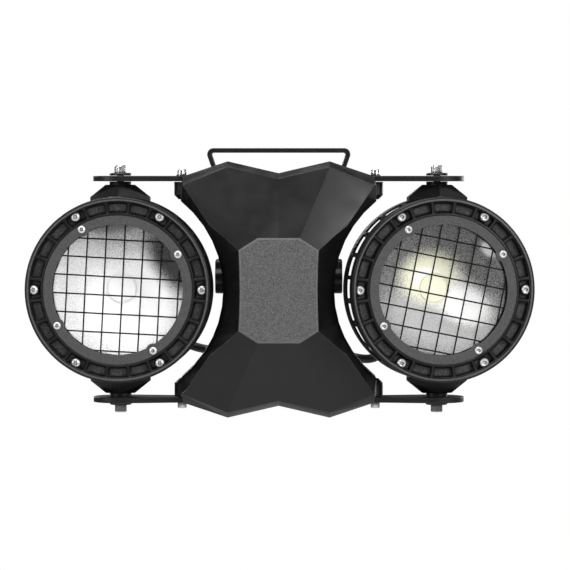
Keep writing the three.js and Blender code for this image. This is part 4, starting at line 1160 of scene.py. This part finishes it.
# Drum housing: flange, drum, 24 ribs and the shroud ring round them
drum = {
    "front": 16.7, "flangeRadius": 100, "flangeBack": 23, "outer": 102, "radius": 80, "bore": 76,
    "floorFront": 66, "floorBack": 72, "back": 84, "shroudFront": 44, "shroudBack": 62, "shroudWall": 2.4,
    "ribs": 24, "ribThickness": 4.4, "ribDraft": 0.5, "ribReach": 101.5, "ribRoot": 2, "ribSunk": 1,
    "ribEnd": 1.5, "round": 0.8, "roundSteps": 3, "steps": 144,
}


def drumHousing(side):
    soft = drum["round"], drum["roundSteps"]
    radius, bore, outer, floorFront = drum["radius"], drum["bore"], drum["outer"], drum["floorFront"]
    body = turned(f"{side}Drum", filleted([
        (0, floorFront), (bore, floorFront), (bore, drum["front"]), (drum["flangeRadius"], drum["front"]),
        (drum["flangeRadius"], drum["flangeBack"]), (radius, drum["flangeBack"]), (radius, drum["back"]),
        (bore, drum["back"]), (bore, drum["floorBack"]), (0, drum["floorBack"])], *soft), drum["steps"])
    inner, front, back = outer - drum["shroudWall"], drum["shroudFront"], drum["shroudBack"]
    shroud = [(inner, front), (outer, front), (outer, back), (inner, back)]
    shroud = turned("shroud", filleted(shroud, *soft, closed=True), drum["steps"], closed=True)
    half, draft = drum["ribThickness"] / 2, drum["ribDraft"]
    root, tip = radius - drum["ribRoot"], drum["ribReach"]
    rib = extruded("rib", [
        (root, -half - draft), (tip, -half + draft / 2), (tip, half - draft / 2), (root, half + draft)],
        drum["flangeBack"] - drum["ribSunk"], back - drum["ribEnd"])
    ribs = roundCopies(rib, drum["ribs"], 180 / drum["ribs"], "castPaint")
    onHead(side, combined(body, [shroud, ribs], "UNION"), "castPaint", "drum_housing")


# Rear cap with its screws, and the glands of the lead
cap = {
    "front": 84.3, "straight": 7, "depth": 22, "radius": 80, "backRadius": 64, "wall": 3.5,
    "spigot": 72.2, "spigotWall": 3.5, "spigotDepth": 4, "round": 1.6, "roundSteps": 4, "steps": 144,
    "glandX": 32, "glandZ": -42, "screws": 6, "screwAngle": 30, "screwCircle": 56, "screwRadius": 3.8,
    "screwHeight": 2.2, "socket": 1.5,
}
gland = {
    "nutRadius": 10.5, "nutLength": 6, "nutTurned": 0.95, "nutEdges": (0.8, 0.5), "stemRadius": 7.4,
    "stemDepth": 3.5, "gap": 0.3, "barrelRadius": 8.6, "barrelLength": 7, "barrelEdge": (0.4, 0.8),
    "barrelSunk": 0.3, "flutes": 12, "fluteDepth": 0.35, "fluteWidth": 0.6, "domeEnd": 6.4,
    "domeLength": 9, "dome": [(0.97, 1.5), (0.9, 4.0)],  # share of the barrel's radius, and depth
    "domeEdge": (0.6, 1.2), "mouth": 0.3, "steps": 72, "bodyX": 66, "bodyZ": -72, "bodyFace": 45,
}


def glandNut(name, face):
    sixSided = hexagon(gland["nutRadius"])

    def chamfered(angle):
        return min(sixSided(angle), gland["nutRadius"] * gland["nutTurned"])

    start, end, stem = face + gland["gap"], face + gland["nutLength"], face - gland["stemDepth"]
    front, back = gland["nutEdges"]
    return turned(name, [
        (0, stem), (gland["stemRadius"], stem), (gland["stemRadius"], start), (chamfered, start),
        (sixSided, face + front), (sixSided, end - back), (chamfered, end), (gland["barrelRadius"], end),
        (0, end)], gland["steps"])


def glandDome(start):
    radius, end = gland["barrelRadius"], start + gland["barrelLength"]
    last, mouth = end + gland["domeLength"], gland["mouth"]
    sink, rise = gland["barrelEdge"]
    reach, back = gland["domeEdge"]

    def fluted(angle):
        return radius - gland["fluteDepth"] * (math.cos(gland["flutes"] * angle) > gland["fluteWidth"])

    return turned("dome", [
        (0, start), (radius - sink, start), (fluted, start + rise), (fluted, end),
        *[(radius * share, end + depth) for share, depth in gland["dome"]],
        (gland["domeEnd"] + reach, last - back), (gland["domeEnd"], last),
        (lead["radius"] + mouth, last + mouth), (0, last + mouth)], gland["steps"])


def cableGland(name, face):
    dome = glandDome(face + gland["nutLength"] - gland["barrelSunk"])
    return joined(name, [glandNut(name, face), dome])


def rearCap(side):
    sign, wall, front, spigot = sides[side], cap["wall"], cap["front"], cap["spigot"]
    back, cone, inner = front + cap["depth"], front + cap["straight"], front - cap["spigotDepth"]
    outer = spigot + cap["spigotWall"]
    body = turned(f"{side}Cap", filleted([
        (0, back - wall), (cap["backRadius"] - wall, back - wall), (spigot, cone), (spigot, inner),
        (outer, inner), (outer, front), (cap["radius"], front), (cap["radius"], cone),
        (cap["backRadius"], back), (0, back)], cap["round"], cap["roundSteps"]), cap["steps"])
    onHead(side, body, "bracketPaint", "rear_cap")
    screwCircle(side, "Cap", backScrew(cap), cap, back)
    end = moved(cableGland(f"{side}HeadGland", back), x=-sign * cap["glandX"], z=cap["glandZ"])
    onHead(side, end, "blackPlastic", "head_gland")
    start = cableGland(f"{side}BodyGland", gland["bodyFace"])
    moved(start, x=sign * gland["bodyX"], z=gland["bodyZ"])
    onBody(start, "blackPlastic", f"{side}_body_gland")


# Arms, bushes, pan screws and lugs
arm = {
    "bottom": 119.0, "thickness": 6, "innerX": 98, "neckX": 118, "width": 40, "endRadius": 30,
    "endSteps": 48, "panX": 175, "panY": 22, "edge": 0.7, "edgeSteps": 3, "screwX": 107,
    "screwRadius": 5, "screwHeight": 6, "socket": 2.6, "ridges": 24, "washerRadius": 6.2,
    "washerThickness": 1.1, "washerSteps": 40,
}
pivot = {
    "flangeRadius": 12, "flangeThickness": 3, "flangeEdges": (0.3, 0.8), "flangeSteps": 64, "gap": 0.3,
    "screwRadius": 6.5, "screwHeight": 8, "ridges": 30, "socket": 3.4, "shankRadius": 4, "reach": 12,
    "shankSteps": 32,
}
lug = {"edge": 0.9, "edgeSteps": 3, "limit": 25}


def armOutline(side):
    half, middle, length = arm["width"] / 2, arm["panY"], arm["panX"] - arm["neckX"]
    lean = math.asin(arm["endRadius"] / math.hypot(length, half)) - math.atan2(half, length)
    quarter = math.pi / 2
    end = arcPoints(arm["panX"], middle, arm["endRadius"], -quarter - lean, quarter + lean, arm["endSteps"])
    points = [(arm["innerX"], middle - half), (arm["neckX"], middle - half), *end,
              (arm["neckX"], middle + half), (arm["innerX"], middle + half)]
    return [(sides[side] * x, y) for x, y in points]


def standing(piece, side, up, x, height):
    # Made about Y with its head towards -Y, then stood on the arm
    flip = Matrix.Rotation(up * math.pi / 2, 4, "X")
    piece.data.transform(Matrix.Translation((sides[side] * x, arm["panY"], up * height)) @ flip.inverted())
    return piece


def disc(name, radius, start, end, steps):
    return turned(name, [(0, start), (radius, start), (radius, end), (0, end)], steps)


def armOf(side, level):
    up = 1 if level == "top" else -1
    label, node = f"{side}{level.title()}", f"{side}_{level}"
    top = arm["bottom"] + arm["thickness"]
    plate = extruded(f"{label}Arm", armOutline(side), up * arm["bottom"], up * top, "Z")
    onBody(eased(plate, arm["edge"], arm["edgeSteps"]), "bracketPaint", f"{node}_arm")

    flange, radius, thickness = top + pivot["gap"], pivot["flangeRadius"], pivot["flangeThickness"]
    low, high = pivot["flangeEdges"]
    bush = turned(f"{label}Bush", [
        (0, 0), (radius - low, 0), (radius, -low), (radius, high - thickness), (radius - high, -thickness),
        (0, -thickness)], pivot["flangeSteps"])
    bush = standing(bush, side, up, arm["panX"], flange)
    onBody(bush, "blackPlastic", f"{node}_bush")

    seat = flange + thickness + pivot["gap"]
    head = capScrew(f"{label}PanScrew", pivot)
    shankEnd = seat - arm["bottom"] + pivot["reach"]
    shank = disc("shank", pivot["shankRadius"], 0, shankEnd, pivot["shankSteps"])
    pan = standing(joined(head.name, [head, shank]), side, up, arm["panX"], seat)
    fit(pan, bodyPlace, f"{side}_head", "boltSteel", f"{node}_pivot_screw")

    screw = moved(capScrew("screw", arm), y=-arm["washerThickness"])
    washer = disc("washer", arm["washerRadius"], 0, -arm["washerThickness"], arm["washerSteps"])
    both = standing(joined(f"{label}ArmScrew", [screw, washer]), side, up, arm["screwX"], top)
    onBody(both, "boltSteel")

    ear = copied(f"{label}Lug", f"{node}_lug", headPlace(side))
    ear = eased(ear, lug["edge"], lug["edgeSteps"], lug["limit"])
    onHead(side, ear, "castPaint", f"{level}_lug")


for side in sides:
    drumHousing(side)
    rearCap(side)
    for level in ("top", "bottom"):
        armOf(side, level)
print("drums, caps, arms and pivots made")


# Body: cover with its pad, and chassis
shell = {
    "coverEdge": 1.1, "coverSteps": 3, "coverLimit": 4, "coverFlat": 0.5,
    "chassisEdge": 0.8, "chassisSteps": 2, "chassisLimit": 25, "padFrom": 40.15,
}


def frontCover():
    cover = copied("frontCover", "front_cover", bodyPlace, flat=shell["coverFlat"])
    cover = eased(cover, shell["coverEdge"], shell["coverSteps"], shell["coverLimit"])
    onBody(cover, "bodyPaint", "front_cover")
    cover.data.materials.append(materials["padCoat"])
    place = bodyPlace.inverted()
    for face in cover.data.polygons:
        if -(place @ face.center).y > shell["padFrom"]:
            face.material_index = 1


def chassisFrame():
    chassis = copied("chassis", "chassis", bodyPlace)
    chassis = eased(chassis, shell["chassisEdge"], shell["chassisSteps"], shell["chassisLimit"])
    onBody(chassis, "bracketPaint", "chassis")


frontCover()
chassisFrame()
print("cover and chassis made")


# Rear housing: fine rounded box with the hubs of the tilt axis and the cut-outs of the panel
rear = {
    "width": 82, "height": 150, "front": 45.3, "back": 118.3, "corner": 8, "cornerSteps": 10, "wall": 3,
    "backWall": 4, "hollowSteps": 6, "backEdge": 1.6, "edgeSteps": 4, "edgeLimit": 60, "tiltDepth": 86,
    "tiltZ": 12, "hollowBeyond": 2, "hubRadius": 17, "hubHeight": 2.5, "hubEdge": 0.6, "hubSunk": 2,
    "hubSteps": 64,
    "boreRadius": 5.3, "boreSteps": 32, "cutDepth": 6, "cutBeyond": 1, "screwX": 35.5, "screwZ": 69.5,
    "screwSunk": 0.2, "screwRadius": 3, "screwHeight": 1.6, "socket": 1.1,
}
panel = {
    "gap": 0.3, "windowWidth": 52, "windowHeight": 20, "windowThickness": 1.5, "windowFrame": 4,
    "windowZ": 48, "windowCorner": 0.6, "windowEdge": 0.25, "rebateCorner": 0.8, "openingCorner": 1,
    "cornerSteps": 4, "buttons": ("menu", "down", "up", "enter"), "buttonPitch": 16, "buttonZ": 21,
    "buttonRadius": 4.5, "buttonProud": 1.6,
    "buttonFlange": 1.2, "flangeDepth": 1.4, "holeSteps": 32, "buttonSteps": 48,
    "buttonFace": [  # share of the radius, inwards, depth
        (1, 0, 0.7), (1, 0.2, 0.3), (1, 0.7, 0), (0.5, 0, 0.25), (0, 0, 0.35),
    ],
    "socketX": 20, "socketZ": (-20, -55),
}
port = {
    "flangeWidth": 26, "flangeHeight": 31, "flangeThickness": 2, "flangeRadius": 4, "flangeEdge": 0.5,
    "flangeSteps": 3, "flangeLimit": 60, "barrelRadius": 11.8, "barrelLength": 24, "barrelSunk": 0.5,
    "bore": {"power": 9, "data": 8}, "boreDepth": 14, "boreEdge": 0.8, "boreBeyond": 2, "steps": 64,
    "holeSteps": 48,
    "screwX": 9.6, "screwZ": 12.2, "screwSunk": 0.2, "screwRadius": 2.4, "screwHeight": 1.3, "socket": 0.9,
}
contact = {
    "sunk": 0.5, "count": 3,
    "core": (0.52, 0.46), "coreTop": (3.4, 2.8), "coreSteps": 40,  # shares of the bore, depths of the edge
    "slot": (0.5, 1.6, 4.0), "slotDepth": 9,  # half width, from, to
    "key": (1.1, 1.4, 0.3), "keyTop": 4,  # half width, inside and outside the bore
    "pin": [(1.15, 4.6), (0.7, 3.8), (0, 3.6)], "pinCircle": 3.9, "pinSteps": 20,  # radius and depth
}


def windowOutline(width, height, corner):
    return roundedRectangle(width, height, panel[corner], panel["cornerSteps"], y=panel["windowZ"])


def buttonPlaces():
    count = len(panel["buttons"])
    return [(i - (count - 1) / 2) * panel["buttonPitch"] for i in range(count)]


def socketPlaces():
    return [(sign * panel["socketX"], z) for sign in (-1, 1) for z in panel["socketZ"]]


def hubOf(sign):
    radius, edge, start = rear["hubRadius"], rear["hubEdge"], rear["width"] / 2
    end = start + rear["hubHeight"]
    hub = turned("hub", [
        (0, start - rear["hubSunk"]), (radius, start - rear["hubSunk"]), (radius, end - edge),
        (radius - edge, end), (0, end)], rear["hubSteps"])
    return moved(hub, y=rear["tiltDepth"], z=rear["tiltZ"], turn=(0, 0, -sign * math.pi / 2))


def rearTools():
    # What is cut from the housing: its hollow, the window, holes for buttons and sockets, the tilt bore
    walls, slack, half = 2 * rear["wall"], 2 * panel["gap"], rear["width"] / 2
    hollow = roundedRectangle(
        rear["width"] - walls, rear["height"] - walls, rear["corner"] - rear["wall"], rear["hollowSteps"]
    )
    width, height, rim = panel["windowWidth"], panel["windowHeight"], panel["windowFrame"]
    opening = windowOutline(width - rim, height - rim, "openingCorner")
    rebate = windowOutline(width + slack, height + slack, "rebateCorner")
    start, end = rear["back"] - rear["cutDepth"], rear["back"] + rear["cutBeyond"]
    button, barrel = panel["buttonRadius"] + panel["gap"], port["barrelRadius"] + panel["gap"]
    holes = [circle(button, panel["holeSteps"], x, panel["buttonZ"]) for x in buttonPlaces()]
    holes += [circle(barrel, port["holeSteps"], x, z) for x, z in socketPlaces()]
    bore = circle(rear["boreRadius"], rear["boreSteps"], rear["tiltDepth"], rear["tiltZ"])
    beyond = half + 2 * rear["hubHeight"]
    return [
        extruded("hollow", hollow, rear["front"] - rear["hollowBeyond"], rear["back"] - rear["backWall"]),
        extruded("display", opening, start, end),
        extruded("rebate", rebate, rear["back"] - panel["windowThickness"] - panel["gap"], end),
        *[extruded("hole", hole, start, end) for hole in holes],
        extruded("bore", bore, -beyond, beyond, "X"),
    ]


def rearHousing():
    outline = roundedRectangle(rear["width"], rear["height"], rear["corner"], rear["cornerSteps"])
    outer = extruded("rearHousing", outline, rear["front"], rear["back"])
    outer = eased(outer, rear["backEdge"], rear["edgeSteps"], rear["edgeLimit"])
    outer = combined(outer, [hubOf(sign) for sign in (-1, 1)], "UNION")
    onBody(combined(outer, rearTools()), "bracketPaint", "rear_housing")
    depth = rear["back"] - rear["screwSunk"]
    screws = [
        moved(backScrew(rear), x=signX * rear["screwX"], y=depth, z=signZ * rear["screwZ"])
        for signX in (-1, 1) for signZ in (-1, 1)
    ]
    onBody(joined("panelScrews", screws), "stainless")


def displayWindow():
    outline = windowOutline(panel["windowWidth"], panel["windowHeight"], "windowCorner")
    window = extruded("displayWindow", outline, rear["back"] - panel["windowThickness"], rear["back"])
    onBody(eased(window, panel["windowEdge"]), "windowPlastic", "display_window")


def menuButtons():
    inner = rear["back"] - rear["backWall"] - panel["gap"]
    top = rear["back"] + panel["buttonProud"]
    radius, low = panel["buttonRadius"], inner - panel["flangeDepth"]
    wide = radius + panel["buttonFlange"]
    face = [(radius * share - inset, top - depth) for share, inset, depth in panel["buttonFace"]]
    for x, name in zip(buttonPlaces(), panel["buttons"]):
        button = turned(f"{name}Button", [
            (0, low), (wide, low), (wide, inner), (radius, inner), *face], panel["buttonSteps"])
        moved(button, x=x, z=panel["buttonZ"])
        fit(button, bodyPlace, f"{name}_button", "blackPlastic", f"{name}_button")


def thirds(start=0):
    return [start + i * 2 * math.pi / contact["count"] for i in range(contact["count"])]


def powerCore(bore, floor, top):
    # Round core with three slots, and a key on the wall of the bore
    foot, body, face = floor - contact["sunk"], *[bore * share for share in contact["core"]]
    low, high = contact["coreTop"]
    core = turned("core", [
        (0, foot), (body, foot), (body, top - low), (face, top - high), (0, top - high)],
        contact["coreSteps"])
    half, near, far = contact["slot"]
    slot = [(-half, near), (half, near), (half, far), (-half, far)]
    slots = [
        moved(extruded("slot", slot, top - contact["slotDepth"], top), turn=(0, angle, 0))
        for angle in thirds()
    ]
    half, inside, outside = contact["key"]
    key = [(-half, bore - inside), (half, bore - inside), (half, bore + outside), (-half, bore + outside)]
    return [combined(core, slots), extruded("key", key, foot, top - contact["keyTop"])]


def dataPins(floor, top):
    foot, circleRadius = floor - contact["sunk"], contact["pinCircle"]
    tip = [(radius, top - depth) for radius, depth in contact["pin"]]
    profile = [(0, foot), (tip[0][0], foot), *tip]
    return [
        moved(turned("pin", profile, contact["pinSteps"]),
              x=circleRadius * math.cos(angle), z=circleRadius * math.sin(angle))
        for angle in thirds(math.pi / 2)
    ]


def panelSocket(name, x, z):
    kind = name.split("_")[0]
    bore, edge, radius = port["bore"][kind], port["boreEdge"], port["barrelRadius"]
    face = rear["back"] + panel["gap"]
    top = face + port["flangeThickness"]
    floor = top - port["boreDepth"]
    outline = roundedRectangle(port["flangeWidth"], port["flangeHeight"], port["flangeRadius"])
    flange = extruded("flange", outline, face, top)
    flange = eased(flange, port["flangeEdge"], port["flangeSteps"], port["flangeLimit"])
    barrel = disc("barrel", radius, top - port["barrelLength"], face + port["barrelSunk"], port["steps"])
    beyond = top + port["boreBeyond"]
    tool = turned("bore", [
        (0, floor), (bore, floor), (bore, top - edge), (bore + edge, top), (bore + edge, beyond),
        (0, beyond)], port["steps"])
    body = combined(combined(flange, [barrel], "UNION"), [tool])
    inside = powerCore(bore, floor, top) if kind == "power" else []
    body = moved(joined(name, [body, *inside]), x=x, z=z)
    onBody(body, "blackPlastic", name)

    metal = [] if kind == "power" else dataPins(floor, top)
    for sign in (-1, 1):
        screw = backScrew(port)
        depth = top - port["screwSunk"]
        metal.append(moved(screw, x=sign * port["screwX"], y=depth, z=-sign * port["screwZ"]))
    metal = moved(joined(name.replace("_", "") + "Metal", metal), x=x, z=z)
    onBody(metal, "stainless")


rearHousing()
displayWindow()
menuButtons()
for name, (x, z) in zip(("power_inlet", "power_outlet", "data_inlet", "data_outlet"), socketPlaces()):
    panelSocket(name, x, z)
print("rear housing and its panel made")


# Yoke: a flat bar bent along its path, with round feet
yoke = {
    "thickness": 5, "width": 40, "topHalf": 79.5, "top": 144, "footX": 46.3, "footLength": 46,
    "bend": 4.5, "bendSteps": 10, "footSteps": 32, "edge": 0.7, "edgeSteps": 3, "edgeLimit": 50,
    "tiltHole": 5.3, "tiltSteps": 40, "clampHole": 6.5, "clampSteps": 48, "clampCut": (20, 5),
}


def makeBarTree():
    # A flat bar along a path in the XZ plane, its corners bent to a radius
    tree, given, out = newShapeTree("bentBar", [
        ("Path", "Geometry", None), ("Bend Radius", "Float", 5.0), ("Bend Steps", "Int", 10),
        ("Width", "Float", 40.0), ("Thickness", "Float", 5.0)])
    bend = put(tree, "GeometryNodeFilletCurve", {
        "Curve": given["Path"], "Radius": given["Bend Radius"], "Count": given["Bend Steps"]}, mode="POLY")
    section = put(tree, "GeometryNodeCurvePrimitiveQuadrilateral", {
        "Width": given["Thickness"], "Height": given["Width"]})
    return endShapeTree(tree, given, out, swept(tree, bend[0], section[0]))


barTree = makeBarTree()


def yokeBar():
    foot, top, half = yoke["width"] / 2, yoke["top"], yoke["thickness"] / 2
    corners = [(yoke["footX"], -foot), (yoke["footX"], yoke["footLength"]), (yoke["topHalf"], top - half)]
    path = [Vector((x, 0, z)) for x, z in corners]
    path += [Vector((-x, 0, z)) for x, z in reversed(corners)]
    bar = grown(lineObject("yoke", path), barTree, "bracketPaint", {
        "Bend Radius": yoke["bend"], "Bend Steps": yoke["bendSteps"], "Width": float(yoke["width"]),
        "Thickness": float(yoke["thickness"])})
    reach = 2 * top
    side = arcPoints(0, 0, foot, math.pi, 2 * math.pi, yoke["footSteps"]) + [(foot, reach), (-foot, reach)]
    combined(bar, [extruded("side", side, -reach, reach, "X")], "INTERSECT")
    below, above = yoke["clampCut"]
    tilt, clamp = circle(yoke["tiltHole"], yoke["tiltSteps"]), circle(yoke["clampHole"], yoke["clampSteps"])
    combined(bar, [extruded("tiltHole", tilt, -reach, reach, "X"),
                   extruded("clampHole", clamp, top - below, top + above, "Z")])
    bar = eased(bar, yoke["edge"], yoke["edgeSteps"], yoke["edgeLimit"])
    fit(bar, tiltPlace, "yoke", "bracketPaint", "yoke")


# Lock knobs: six soft lobes, a dished face, neck and threaded stud
knob = {
    "radius": 19.6, "lobe": 1.7, "lobes": 6, "outerX": 71.5, "gripLength": 16, "round": 2,
    "roundDegrees": (0, 30, 60, 90), "dishRadius": 12.5, "dishDepth": 1.2,
    "dishWall": 1.2, "dishEdge": [(0, 0), (0.5, 0.2)],  # inwards, and depth
    "neckRadius": 11, "neckEdge": 0.5, "legFace": 49.1, "studRadius": 5, "studInner": 28.5,
    "studEdge": 0.6, "steps": 144,
}


def lobed(radius):
    return lambda angle: radius + knob["lobe"] * math.cos(knob["lobes"] * angle)


def lockKnob(side):
    outer, soft, dish = knob["outerX"], knob["round"], knob["dishRadius"]
    inner, floor = outer - knob["gripLength"], outer - knob["dishDepth"]
    stud, studInner, cut = knob["studRadius"], knob["studInner"], knob["studEdge"]
    neck, leg, edge = knob["neckRadius"], knob["legFace"], knob["neckEdge"]
    turns = [math.radians(degrees) for degrees in knob["roundDegrees"]]
    rounds = [(lobed(knob["radius"] - soft * (1 - math.sin(a))), soft * (1 - math.cos(a))) for a in turns]
    piece = turned(f"{side}LockKnob", [
        (0, studInner), (stud - cut, studInner), (stud, studInner + cut), (stud, leg), (neck - edge, leg),
        (neck, leg + edge), (neck, inner),
        *[(reach, inner + depth) for reach, depth in rounds],
        *[(reach, outer - depth) for reach, depth in reversed(rounds)],
        *[(dish - inset, outer - depth) for inset, depth in knob["dishEdge"]],
        (dish - knob["dishWall"], floor), (0, floor)], knob["steps"])
    moved(piece, turn=(0, 0, -sides[side] * math.pi / 2))
    fit(piece, tiltPlace, f"{side}_lock_knob", "blackPlastic", f"{side}_lock_knob")


yokeBar()
for side in sides:
    lockKnob(side)
print("yoke and knobs made")


# Nodes of the frame that stay, in their finishes
stays = {
    "cover_gasket": "sealRubber", "left_lens_gasket": "sealRubber", "right_lens_gasket": "sealRubber",
    "power_supply": "supplyCase", "control_board": "circuitBoard",
}
for node, finish in stays.items():
    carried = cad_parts[node]
    carried.data.materials.clear()
    carried.data.materials.append(materials[finish])
print("finishes put on the nodes that stay")
